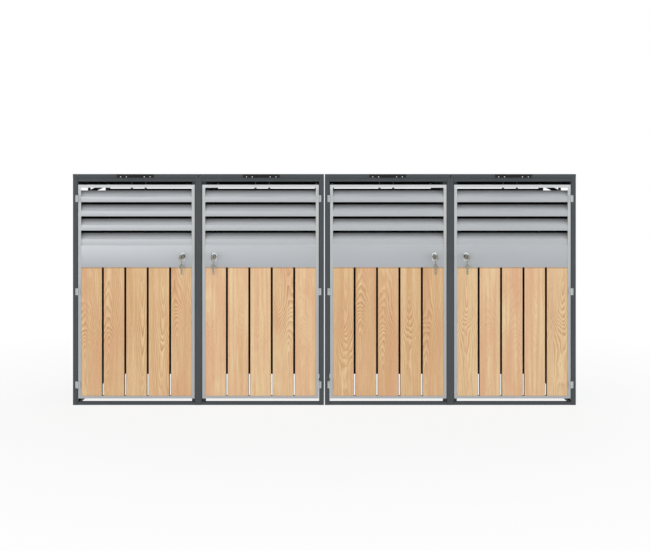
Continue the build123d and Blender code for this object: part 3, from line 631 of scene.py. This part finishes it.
# %% Metal finishes
PLATE_BUMP = {"strength": 0.06, "distance": 0.0002}
METALS = {
    "hinge_steel": ((184, 188, 189), (206, 209, 210), (0.36, 0.5), 260.0),
    "lock_chrome": ((214, 217, 219), (238, 240, 241), (0.14, 0.26), 90.0),
    "key_nickel": ((122, 120, 111), (178, 175, 165), (0.2, 0.36), 320.0),
    "strut_chrome": ((205, 207, 209), (235, 236, 237), (0.06, 0.16), 60.0),
    "zinc_wire": ((74, 76, 78), (104, 107, 109), (0.34, 0.5), 240.0),
}


def plated_metal(name, dark, light, roughness, spangle_scale):
    """Metal between two tones, with a cloudy sheen."""
    material, tree, shader, coordinates = start_material(name)
    plate = place_group(tree, plate_group, Vector=coordinates["Object"], Spangle_Scale=spangle_scale)
    feed(tree, shader.inputs["Base Color"], mix_colour(tree, plate["Tone"], dark, light))
    feed(tree, shader.inputs["Roughness"], remap(tree, plate["Tone"], 0.0, 1.0, *roughness))
    shader.inputs["Metallic"].default_value = 1.0
    add_bump(tree, shader, plate["Height"], **PLATE_BUMP)
    return material


for slot, (dark, light, roughness, spangle_scale) in METALS.items():
    tones = (display_colour(*dark), display_colour(*light))
    finishes[slot] = plated_metal(slot + "_finish", *tones, roughness, spangle_scale)
print("metal finishes", sorted(METALS))

# %% [markdown]
# ## Knob of the lock
# The knob that turns the lock has a nickel face, and its side is matt black. Both are one CAD node, so the
# finish finds the black side by its place: it lies between the rim of the knob and the lock body.

# %% Knob finish
KNOB_LENGTH = 0.032
KNOB_RIM = 0.002
KNOB_BLACK = display_colour(17, 17, 18)
KNOB_NICKEL = (display_colour(128, 126, 116), display_colour(172, 169, 157))
KNOB_SPANGLE = 320.0
NICKEL_ROUGHNESS = (0.22, 0.36)
BLACK_ROUGHER_BY = 0.3

body_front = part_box("door_1_lock_housing")[0][1]
rim_back = body_front - KNOB_LENGTH + KNOB_RIM


def knob_with_black_side(name):
    """Nickel that gives way to matt black between the knob's rim and the lock body."""
    material, tree, shader, coordinates = start_material(name)
    plate = place_group(tree, plate_group, Vector=coordinates["Object"], Spangle_Scale=KNOB_SPANGLE)
    depth = split_axes(tree, coordinates["Object"])["Y"]
    behind_rim = calculate(tree, "GREATER_THAN", depth, rim_back)
    before_body = calculate(tree, "LESS_THAN", depth, body_front)
    black = calculate(tree, "MULTIPLY", behind_rim, before_body)
    metal = mix_colour(tree, plate["Tone"], *KNOB_NICKEL)
    feed(tree, shader.inputs["Base Color"], mix_colour(tree, black, metal, KNOB_BLACK))
    feed(tree, shader.inputs["Metallic"], calculate(tree, "SUBTRACT", 1.0, black))
    smooth = remap(tree, plate["Tone"], 0.0, 1.0, *NICKEL_ROUGHNESS)
    feed(tree, shader.inputs["Roughness"], calculate(tree, "MULTIPLY_ADD", black, BLACK_ROUGHER_BY, smooth))
    add_bump(tree, shader, plate["Height"], **PLATE_BUMP)
    return material


finishes["lock_knob"] = knob_with_black_side("lock_knob_finish")
print("knob is black from", round(rim_back, 4), "to", round(body_front, 4), "m")

# %% [markdown]
# ## Oak
# The planks are pale oiled oak, sawn flat, so the growth rings show as long pointed arches. A tree's rings
# are tubes round its heart. Cutting a board a few centimetres beside the heart gives, at each point, the
# distance to the heart: across the board it is the sideways offset, and along the board the depth drifts
# because the trunk is not straight. The drift is strongest near the middle, so the arches crowd there and
# run out into straight lines, upwards on some planks and downwards on others. Rings at even steps of that
# distance draw the arches. Each plank has its own heart, drift and tint from random numbers.

# %% Planks of the oak
DRAW_STEP = 3.17

plank_values = [(title, NUMBER) for title in ("Plank Start", "Plank Pitch", "Seed", "Pale")]
oak, given, result = new_group(
    "oak_grain",
    [("Vector", VECTOR), *plank_values],
    [("Color", COLOUR), ("Roughness", NUMBER), ("Height", NUMBER)],
)
place = split_axes(oak, given["Vector"])
from_start = calculate(oak, "SUBTRACT", place["X"], given["Plank Start"])
along_row = calculate(oak, "DIVIDE", from_start, given["Plank Pitch"])
plank = calculate(oak, "FLOOR", along_row)
share = calculate(oak, "SUBTRACT", calculate(oak, "SUBTRACT", along_row, plank), 0.5)
across = calculate(oak, "MULTIPLY", share, given["Plank Pitch"])
draw = oak.nodes.new("ShaderNodeTexWhiteNoise")
draw.noise_dimensions = "1D"
feed(oak, draw.inputs["W"], calculate(oak, "MULTIPLY_ADD", plank, DRAW_STEP, given["Seed"]))
drawn = oak.nodes.new("ShaderNodeSeparateColor")
feed(oak, drawn.inputs[0], draw.outputs["Color"])
heart_draw, level_draw, drift_draw = drawn.outputs
print("each plank draws", len(drawn.outputs), "numbers")

# %% Rings of the oak
RING_STEP = 0.006
RING_DARK_FROM = 0.25
RING_DARKEST = 0.9
HEART_SPREAD = 0.085
HEART_MISS = 0.9
ARCH_LEVELS = (0.34, 0.48)
DRIFT = 0.4
DRIFT_RANGE = (0.6, 1.0)
DRIFT_REACH = 0.12
WANDER = 0.022
DEPTH_WANDER = 2 * WANDER
SWAY_ACROSS = 9.0
SWAY_STEP = 5.3
SWAY_ALONG = 2.4

sway_place = join_axes(
    oak,
    calculate(oak, "MULTIPLY", across, SWAY_ACROSS),
    calculate(oak, "MULTIPLY", plank, SWAY_STEP),
    calculate(oak, "MULTIPLY_ADD", place["Z"], SWAY_ALONG, given["Seed"]),
)
sway = calculate(oak, "SUBTRACT", noise(oak, sway_place, 1.0, detail=3.0, roughness=0.45), 0.5)
heart = calculate(oak, "MULTIPLY", calculate(oak, "SUBTRACT", heart_draw, 0.5), HEART_SPREAD)
sideways = calculate(oak, "SUBTRACT", across, heart)
level = calculate(oak, "SUBTRACT", place["Z"], remap(oak, level_draw, 0.0, 1.0, *ARCH_LEVELS))
away = calculate(oak, "ABSOLUTE", level)
level = calculate(oak, "DIVIDE", level, calculate(oak, "MULTIPLY_ADD", away, 1 / DRIFT_REACH, 1.0))
upright = calculate(oak, "SIGN", calculate(oak, "SUBTRACT", drift_draw, 0.5))
level = calculate(oak, "MULTIPLY_ADD", level, upright, DRIFT_REACH * HEART_MISS)
drift = calculate(oak, "MULTIPLY", remap(oak, drift_draw, 0.0, 1.0, *DRIFT_RANGE), DRIFT)
depth = calculate(oak, "MULTIPLY_ADD", level, drift, calculate(oak, "MULTIPLY", sway, DEPTH_WANDER))
squares = calculate(oak, "MULTIPLY_ADD", sideways, sideways, calculate(oak, "MULTIPLY", depth, depth))
distance = calculate(oak, "MULTIPLY_ADD", sway, WANDER, calculate(oak, "SQRT", squares))
rings = calculate(oak, "FRACT", calculate(oak, "DIVIDE", distance, RING_STEP))
darkening = remap(oak, rings, RING_DARK_FROM, RING_DARKEST)
ending = remap(oak, rings, RING_DARKEST, 1.0, 1.0, 0.0)
ring_line = calculate(oak, "MULTIPLY", darkening, ending)
print("rings every", RING_STEP * 1000, "mm")

# %% [markdown]
# ## Fibres, pores and colour of the oak
# Fine fibres with short dark pores and wider streaks run along the grain and bend with it, and broad bands
# run straight up the plank. The streaks break the rings into short dashes, as the pores do in real oak. The
# planks of every second door are paler, and most of them are calm: straight rose stripes, hardly any arches.

# %% Fibres, streaks and bands
FIBRE_ACROSS = 420.0
FIBRE_ALONG = 9.0
FIBRE_BEND = 6.0
PORE_SHRINK = (2.3, 2.3, 4.0)
PORE_LEVELS = (0.62, 0.74)
STREAK_ACROSS = 130.0
STREAK_ALONG = 5.0
STREAK_BEND = 5.0
BAND_ACROSS = 34.0
BAND_STEP = 4.7
BAND_ALONG = 0.9
STRIPES_TO_A_BAND = 2.1


def grain_place(scale, bend, along):
    """Place for a pattern that runs along the plank and bends with its sway."""
    bent = calculate(oak, "MULTIPLY_ADD", sway, bend, calculate(oak, "MULTIPLY", place["X"], scale))
    return join_axes(oak, bent, calculate(oak, "MULTIPLY", place["Y"], scale), along)


fibre_place = grain_place(FIBRE_ACROSS, FIBRE_BEND, calculate(oak, "MULTIPLY", place["Z"], FIBRE_ALONG))
fibre = noise(oak, fibre_place, 1.0, detail=3.0, roughness=0.6)
pore_place = calculate_vector(oak, "MULTIPLY", fibre_place, PORE_SHRINK)["Vector"]
pore = remap(oak, noise(oak, pore_place, 1.0, detail=1.0), *PORE_LEVELS)
streak_along = calculate(oak, "MULTIPLY_ADD", place["Z"], STREAK_ALONG, plank)
streak_place = grain_place(STREAK_ACROSS, STREAK_BEND, streak_along)
streak = noise(oak, streak_place, 1.0, roughness=0.55)
band_place = join_axes(
    oak,
    calculate(oak, "MULTIPLY", place["X"], BAND_ACROSS),
    calculate(oak, "MULTIPLY", plank, BAND_STEP),
    calculate(oak, "MULTIPLY_ADD", place["Z"], BAND_ALONG, given["Seed"]),
)
band = noise(oak, band_place, 1.0, detail=1.0)
stripe = noise(oak, band_place, STRIPES_TO_A_BAND, detail=1.0)
print("fibres", round(1000 / FIBRE_ACROSS, 1), "mm wide")

# %% Tones of the oak
PALE_OAK = display_colour(234, 206, 162)
WARM_OAK = display_colour(213, 171, 124)
ROSE_OAK = display_colour(222, 174, 138)
FIBRE_SHARE = 0.3
STREAK_SHARE = 0.3
BAND_SHARE = 0.4
PALE_LIFT = 0.11
BODY_LEVELS = (0.4, 0.6)
TINT_SCALE = 1.7
TINT_LEVELS = (0.35, 0.65)
TINT_SHARES = (0.2, 0.8)
CALM_CHANCE = 0.6
STRIPE_LEVELS = (0.45, 0.6)
STRIPE_SHARE = 0.6

tone = calculate(oak, "MULTIPLY_ADD", fibre, FIBRE_SHARE, calculate(oak, "MULTIPLY", streak, STREAK_SHARE))
tone = calculate(oak, "MULTIPLY_ADD", band, BAND_SHARE, tone)
tone = calculate(oak, "ADD", tone, calculate(oak, "MULTIPLY", given["Pale"], PALE_LIFT))
body_colour = mix_colour(oak, remap(oak, tone, *BODY_LEVELS), WARM_OAK, PALE_OAK)
patches = remap(oak, noise(oak, sway_place, TINT_SCALE), *TINT_LEVELS)
tint = calculate(oak, "MULTIPLY", patches, remap(oak, drift_draw, 0.0, 1.0, *TINT_SHARES))
body_colour = mix_colour(oak, tint, body_colour, ROSE_OAK)
calm = calculate(oak, "MULTIPLY", given["Pale"], calculate(oak, "LESS_THAN", level_draw, CALM_CHANCE))
stripes = calculate(oak, "MULTIPLY", remap(oak, stripe, *STRIPE_LEVELS, 0.0, STRIPE_SHARE), calm)
body_colour = mix_colour(oak, stripes, body_colour, ROSE_OAK)
print("a pale plank is calm with a chance of", CALM_CHANCE)

# %% Rings and pores on the tones
RING_OAK = display_colour(188, 136, 91)
PORE_OAK = display_colour(152, 105, 67)
DASH_LEVELS = (0.4, 0.6)
FAINTEST_DASH = 0.45
CALM_RINGS = 0.25
RING_REACH = (0.03, 0.3)
RING_SHARES = (0.95, 0.45)
PORE_SHARE = 0.35
FIBRE_LEVELS = (0.2, 0.8)
OAK_ROUGHNESS = (0.46, 0.64)
PORE_DEPTH = 0.8
RING_DEPTH = 0.25

dashes = calculate(oak, "MULTIPLY", ring_line, remap(oak, streak, *DASH_LEVELS, FAINTEST_DASH, 1.0))
dashes = calculate(oak, "MULTIPLY", dashes, remap(oak, calm, 0.0, 1.0, 1.0, CALM_RINGS))
ring_share = calculate(oak, "MULTIPLY", dashes, remap(oak, away, *RING_REACH, *RING_SHARES))
ring_colour = mix_colour(oak, ring_share, body_colour, RING_OAK)
pore_share = calculate(oak, "MULTIPLY", pore, PORE_SHARE)
feed(oak, result["Color"], mix_colour(oak, pore_share, ring_colour, PORE_OAK))
feed(oak, result["Roughness"], remap(oak, fibre, *FIBRE_LEVELS, *OAK_ROUGHNESS))
ridge = calculate(oak, "SUBTRACT", fibre, calculate(oak, "MULTIPLY", pore, PORE_DEPTH))
feed(oak, result["Height"], calculate(oak, "MULTIPLY_ADD", ring_line, -RING_DEPTH, ridge))
print("oak group has", len(oak.nodes), "nodes")

# %% [markdown]
# ## Planks of each door
# Each door gets the oak with its own seed and the places of its own planks. The narrow sides and the eased
# edges are painted dark as shade, so the open joints read as dark lines. A painted shadow lies under the
# edge of the lock panel.

# %% Oak finish of each door
STILE_WIDTH = 0.015
PLANK_GAP = 0.008
PLANKS_PER_DOOR = 5
SEED_STEP = 11.3
# Painted shade on the sides and eased edges of the planks.
OAK_EDGE_SHADE = display_colour(34, 14, 3)
EDGE_TURN = (0.3, 0.65)
# Painted shadow under the edge of the lock panel.
PANEL_SHADOW_OAK = display_colour(128, 96, 68)
PANEL_SHADOW_HEIGHT = 0.008
PANEL_SHADOW_SHARE = 0.6
OAK_GLOSS = 0.25
OAK_BUMP = {"strength": 0.2, "distance": 0.0006}


def plank_pitch(bay):
    """Distance from plank to plank of a door."""
    low, high = doors[bay]
    return (high[0] - low[0] - 2 * STILE_WIDTH + PLANK_GAP) / PLANKS_PER_DOOR


def oak_planks(bay):
    """Oak for the planks of one door; the first plank starts half a gap before its edge."""
    material, tree, shader, coordinates = start_material(f"oak_{bay}")
    grain = place_group(
        tree,
        oak,
        Vector=coordinates["Object"],
        Plank_Start=doors[bay][0][0] + STILE_WIDTH - PLANK_GAP / 2,
        Plank_Pitch=plank_pitch(bay),
        Seed=bay * SEED_STEP,
        Pale=0.0 if hinged_left[bay] else 1.0,
    )
    # Painted shade on the sides and eased edges of the planks.
    sideways = calculate(tree, "ABSOLUTE", split_axes(tree, coordinates["Normal"])["X"])
    edge = remap(tree, sideways, *EDGE_TURN)
    height = split_axes(tree, coordinates["Object"])["Z"]
    # Painted shadow under the edge of the lock panel.
    panel_shadow = remap(tree, height, panel_foot - PANEL_SHADOW_HEIGHT, panel_foot, 0.0, PANEL_SHADOW_SHARE)
    front = mix_colour(tree, panel_shadow, grain["Color"], PANEL_SHADOW_OAK)
    feed(tree, shader.inputs["Base Color"], mix_colour(tree, edge, front, OAK_EDGE_SHADE))
    feed(tree, shader.inputs["Roughness"], grain["Roughness"])
    shader.inputs["Specular IOR Level"].default_value = OAK_GLOSS
    add_bump(tree, shader, grain["Height"], **OAK_BUMP)
    return material


for bay in BAYS:
    finishes[f"oak_{bay}"] = oak_planks(bay)
print("planks every", round(plank_pitch(1) * 1000, 1), "mm")

# %% [markdown]
# ## Dress the CAD model
# The record names a material slot for each CAD node, and a node takes the finish of that name. Planks,
# walls, rails, rear frames, lids, grips, door frames, lock panels and knobs take another finish instead.

# %% Give each CAD node its finish
# Painted shade goes on the inside faces of these nodes and of the lid panels.
SHADED_INSIDE_NODES = ("side_panels", "rear_panels", "partitions", "rear_frames", "side_rails")

chosen = {part["node"]: part["material_slot"] for part in frame["record"]["subparts"]}
for name in SHADED_INSIDE_NODES:
    chosen[name] = "shaded_inside"
for bay in BAYS:
    chosen[f"lid_{bay}_panel"] = "shaded_inside"
    # Grips take the black painted shade.
    chosen[f"lid_{bay}_grip"] = "grip_shade"
    chosen[f"door_{bay}_frame"] = "silver_frame"
    chosen[f"door_{bay}_lock_panel"] = "silver_panel"
    chosen[f"door_{bay}_lock_plug"] = "lock_knob"
    chosen[f"door_{bay}_planks"] = f"oak_{bay}"


def dress(piece, finish):
    """Replace all of a piece's materials with one finish."""
    piece.data.materials.clear()
    piece.data.materials.append(finishes[finish])


for name, node in frame["nodes"].items():
    dress(node, chosen[name])
print("dressed", len(frame["nodes"]), "nodes")

# %% [markdown]
# ## Fastener heads
# Screws, rivets and nuts are too small for the CAD model. A head starts as a cylinder. Its rim is bevelled,
# and for a screw the top is inset and pushed down to make the drive recess. Each kind is made once at the
# origin, pointing up, and copied to its places later.

# %% Model the heads
FLAT_TOP = 0.99
RECESS_INSET = 0.42
RIM_SEGMENTS = 2
SMOOTH_ANGLE = math.radians(35)


def pick_top(piece):
    """In edit mode, select only the flat top of a piece."""
    mesh = bmesh.from_edit_mesh(piece.data)
    for face in mesh.faces:
        face.select_set(face.normal.z > FLAT_TOP)
    mesh.select_flush_mode()
    bmesh.update_edit_mesh(piece.data)


def turned_head(name, sides, radius, height, rim, recess=0.0):
    """Fastener head on z = 0 with a bevelled rim and, where asked, a recess."""
    bpy.ops.object.select_all(action="DESELECT")
    bpy.ops.mesh.primitive_cylinder_add(
        vertices=sides, radius=radius, depth=height, location=(0, 0, height / 2)
    )
    head = bpy.context.object
    head.name = name
    bpy.ops.object.transform_apply(location=True, rotation=True, scale=True)
    bpy.ops.object.mode_set(mode="EDIT")
    bpy.ops.mesh.select_mode(type="FACE")
    pick_top(head)
    bpy.ops.mesh.bevel(offset=rim, segments=RIM_SEGMENTS, affect="EDGES")
    if recess:
        pick_top(head)
        bpy.ops.mesh.inset(thickness=radius * RECESS_INSET)
        bpy.ops.mesh.extrude_region_move(TRANSFORM_OT_translate={"value": (0, 0, -recess)})
    bpy.ops.object.mode_set(mode="OBJECT")
    bpy.ops.object.shade_smooth_by_angle(angle=SMOOTH_ANGLE)
    return head


pan_screw = turned_head("pan_screw", sides=12, radius=0.0032, height=0.0022, rim=0.0009, recess=0.0012)
small_screw = turned_head("small_screw", sides=12, radius=0.0027, height=0.0014, rim=0.0006, recess=0.0008)
dome_rivet = turned_head("dome_rivet", sides=12, radius=0.004, height=0.0016, rim=0.0011)
hex_nut = turned_head("hex_nut", sides=6, radius=0.0075, height=0.0045, rim=0.001)
heads = (pan_screw, small_screw, dome_rivet, hex_nut)
print({head.name: len(head.data.polygons) for head in heads})

# %% [markdown]
# ## Setting the fasteners out
# Fasteners that do the same job on the same body become one piece: the head is copied to every place,
# turned to face out of its surface, and the copies are joined. The joined piece then rides on that body,
# so a lid takes its screws along.

# %% Helper that sets out copies
FACING = {
    "front": (math.radians(90), 0, 0),
    "rear": (math.radians(-90), 0, 0),
    "left": (0, math.radians(-90), 0),
    "right": (0, math.radians(90), 0),
    "up": (0, 0, 0),
}


def copy_head(head, place, facing):
    """Own copy of a head at a place, facing out of its surface."""
    bpy.ops.object.select_all(action="DESELECT")
    head.select_set(True)
    bpy.context.view_layer.objects.active = head
    bpy.ops.object.duplicate(linked=False)
    copy = bpy.context.object
    copy.location = place
    copy.rotation_euler = FACING[facing]
    return copy


def set_out(name, body, slot, head, spots):
    """Join copies of a head, one for each (place, facing), into a piece on a body."""
    copies = [copy_head(head, place, facing) for place, facing in spots]
    bpy.ops.object.select_all(action="DESELECT")
    for copy in copies:
        copy.select_set(True)
    bpy.context.view_layer.objects.active = copies[0]
    bpy.ops.object.join()
    piece = bpy.context.object
    piece.name = name
    bpy.ops.object.transform_apply(location=True, rotation=True, scale=True)
    dress(piece, slot)
    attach(piece, body)


print("facings", sorted(FACING))

# %% [markdown]
# ## Screws of the lid grips
# Four bright screw heads on each grip's flange show just under its lip, in two pairs. They hold the grip
# to the front skirt of the lid.

# %% Grip screws
GRIP_SHEET = 0.002
GRIP_SCREW_RISE = 0.0045
GRIP_SCREW_OFFSETS = (-0.0765, -0.0465, 0.0465, 0.0765)

for bay in BAYS:
    low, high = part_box(f"lid_{bay}_grip")
    middle = (low[0] + high[0]) / 2
    y = high[1] - GRIP_SHEET
    z = low[2] + GRIP_SCREW_RISE
    spots = [((middle + offset, y, z), "front") for offset in GRIP_SCREW_OFFSETS]
    set_out(f"lid_{bay}_grip_screws", f"lid_{bay}", "strut_chrome", pan_screw, spots)
print("grip screws", len(BAYS) * len(GRIP_SCREW_OFFSETS))

# %% [markdown]
# ## Screws of the door hinges
# Two small screws hold the fixed leaf of each hinge to its post. They sit on the part of the leaf beside
# the barrel.

# %% Hinge screws
HINGE_HALF_HEIGHT = 0.0175
HINGE_LEAF = 0.003
HINGE_SCREW_OUT = 0.0098
HINGE_SCREW_RISES = (-0.0095, 0.0095)

spots = []
for bay in BAYS:
    low, high = doors[bay]
    x = low[0] - HINGE_SCREW_OUT if hinged_left[bay] else high[0] + HINGE_SCREW_OUT
    hinge_low, hinge_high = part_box(f"door_{bay}_hinges")
    lowest = hinge_low[2] + HINGE_HALF_HEIGHT
    highest = hinge_high[2] - HINGE_HALF_HEIGHT
    for centre in (lowest, (lowest + highest) / 2, highest):
        for rise in HINGE_SCREW_RISES:
            spots.append(((x, front_face - HINGE_LEAF, centre + rise), "front"))
set_out("door_hinge_screws", "store", "hinge_steel", small_screw, spots)
print("hinge screws", len(spots))

# %% [markdown]
# ## Screws of the planks
# On the inside of a door, each plank is screwed to the two flat bars behind it, with two screws at each
# crossing. They show when a door stands open.

# %% Plank screws
BAR_LEVELS = (0.0412, 0.73)
SCREW_FROM_MIDDLE = 0.032

for bay in BAYS:
    low, high = doors[bay]
    pitch = plank_pitch(bay)
    first = low[0] + STILE_WIDTH + (pitch - PLANK_GAP) / 2
    spots = []
    for index in range(PLANKS_PER_DOOR):
        for level in BAR_LEVELS:
            for offset in (-SCREW_FROM_MIDDLE, SCREW_FROM_MIDDLE):
                spots.append(((first + index * pitch + offset, high[1], level), "rear"))
    set_out(f"door_{bay}_plank_screws", f"door_{bay}", "zinc_wire", pan_screw, spots)
print("plank screws", len(spots), "on each door")

# %% [markdown]
# ## Rivets of the walls
# The beaded sheets of the sides and the rear are riveted to the posts through their flat bands, above,
# below and between the beads.

# %% Wall rivets
WALL_BEADS = 4
EDGE_TO_RIVET = 0.012
RIVET_END = 0.02
BEAD_DEPTH = 0.006


def rivet_levels(low, high):
    """Levels of the flat bands of a wall between two heights."""
    step = (high - low) / WALL_BEADS
    between = [low + index * step for index in range(1, WALL_BEADS)]
    return [low + RIVET_END, *between, high - RIVET_END]


side_low, side_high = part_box("side_panels")
spots = []
for x, facing in ((side_low[0] + BEAD_DEPTH, "left"), (side_high[0] - BEAD_DEPTH, "right")):
    for y in (side_low[1] + EDGE_TO_RIVET, side_high[1] - EDGE_TO_RIVET):
        for z in rivet_levels(side_low[2], side_high[2]):
            spots.append(((x, y, z), facing))
rear_low, rear_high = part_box("rear_panels")
for bay in BAYS:
    door_low, door_high = doors[bay]
    for x in (door_low[0] + EDGE_TO_RIVET, door_high[0] - EDGE_TO_RIVET):
        for z in rivet_levels(rear_low[2], rear_high[2]):
            spots.append(((x, rear_high[1] - BEAD_DEPTH, z), "rear"))
set_out("wall_rivets", "store", "anthracite", dome_rivet, spots)
print("wall rivets", len(spots))

# %% [markdown]
# ## Screws of the lid hinges
# Behind the store, each lid hinge has two screws in the leaf on the rear rail and two in the leaf on the
# lid. The first pair stays with the store, the second rises with the lid.

# %% Lid hinge screws
HINGE_FROM_LID_END = 0.12
SCREW_FROM_HINGE = 0.022
LEAF_BEHIND_FRAME = 0.0025
POST_LEAF_LEVEL = 1.157
LID_LEAF_LEVEL = 1.1913

rear_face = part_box("rear_frames")[1][1] + LEAF_BEHIND_FRAME
post_spots = []
for bay in BAYS:
    low, high = lids[bay]
    lid_spots = []
    for centre in (low[0] + HINGE_FROM_LID_END, high[0] - HINGE_FROM_LID_END):
        for x in (centre - SCREW_FROM_HINGE, centre + SCREW_FROM_HINGE):
            post_spots.append(((x, rear_face, POST_LEAF_LEVEL), "rear"))
            lid_spots.append(((x, rear_face, LID_LEAF_LEVEL), "rear"))
    set_out(f"lid_{bay}_hinge_screws", f"lid_{bay}", "hinge_steel", small_screw, lid_spots)
set_out("lid_hinge_post_screws", "store", "hinge_steel", pan_screw, post_spots)
print("lid hinge screws", 2 * len(post_spots))

# %% [markdown]
# ## Nuts of the struts
# A nut keeps each strut's lower eye on its stud, and a bolt head sits on each tab under the lid.

# %% Strut nuts
STRUT_BASE_DEPTH = 0.25
STRUT_BASE_LEVEL = 1.115
STRUT_TOP_DEPTH = 0.645
STRUT_TOP_LEVEL = 1.16
EYE_HALF_THICKNESS = 0.005
TAB_FAR_FACE = 0.0083

strut_base = (front_face + STRUT_BASE_DEPTH, STRUT_BASE_LEVEL)
strut_top = (front_face + STRUT_TOP_DEPTH, STRUT_TOP_LEVEL)


def strut_places(bay):
    """Middle planes of the two struts of a bay, each with the way to the inside of the bay."""
    low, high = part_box(f"lid_{bay}_strut_rods")
    return ((low[0] + EYE_HALF_THICKNESS, 1, "right"), (high[0] - EYE_HALF_THICKNESS, -1, "left"))


stud_spots = []
for bay in BAYS:
    tab_spots = []
    for x, inward, facing in strut_places(bay):
        stud_spots.append(((x + inward * EYE_HALF_THICKNESS, *strut_base), facing))
        tab_spots.append(((x + inward * TAB_FAR_FACE, *strut_top), facing))
    set_out(f"lid_{bay}_strut_bolts", f"lid_{bay}", "zinc_wire", hex_nut, tab_spots)
set_out("strut_nuts", "store", "zinc_wire", hex_nut, stud_spots)
print("strut nuts", len(stud_spots))

# %% [markdown]
# ## Sleeves of the lid lifters
# A black rubber sleeve on each leg of a wire lifter keeps it from scratching the bin, and shows as a dark
# spot in the slot above the door. A sleeve starts as an open cylinder. One modifier gives it its wall,
# with a hair of play round the wire, and another eases its rims. Both are applied.

# %% Lifter sleeves
SLEEVE_RADIUS = 0.006
SLEEVE_LENGTH = 0.04
SLEEVE_SIDES = 16
SLEEVE_RIM = 0.001
SLEEVE_MIDDLE = 0.0325
WIRE_RADIUS = 0.0025
WIRE_PLAY = 0.0001
LEG_FROM_MIDDLE = 0.0365

bpy.ops.object.select_all(action="DESELECT")
bpy.ops.mesh.primitive_cylinder_add(
    vertices=SLEEVE_SIDES, radius=SLEEVE_RADIUS, depth=SLEEVE_LENGTH, end_fill_type="NOTHING"
)
sleeve = bpy.context.object
sleeve.name = "wire_sleeve"
wall = sleeve.modifiers.new("wall", "SOLIDIFY")
wall.thickness = SLEEVE_RADIUS - WIRE_RADIUS - WIRE_PLAY
wall.offset = -1.0
rims = sleeve.modifiers.new("rims", "BEVEL")
rims.width = SLEEVE_RIM
rims.segments = RIM_SEGMENTS
for modifier in ("wall", "rims"):
    bpy.ops.object.modifier_apply(modifier=modifier)
bpy.ops.object.shade_smooth_by_angle(angle=SMOOTH_ANGLE)

for bay in BAYS:
    low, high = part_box(f"lid_{bay}_lifter")
    middle = (low[0] + high[0]) / 2
    y = (low[1] + high[1]) / 2
    legs = (middle - LEG_FROM_MIDDLE, middle + LEG_FROM_MIDDLE)
    spots = [((x, y, low[2] + SLEEVE_MIDDLE), "up") for x in legs]
    set_out(f"lid_{bay}_lifter_sleeves", f"lifter_{bay}", "strut_black", sleeve, spots)
print("lifter sleeve faces", len(sleeve.data.polygons))

# %% [markdown]
# ## Clear away and finish
# The heads and the sleeve that were copied are no longer needed.

# %% Finish
for master in (*heads, sleeve):
    bpy.data.objects.remove(master)
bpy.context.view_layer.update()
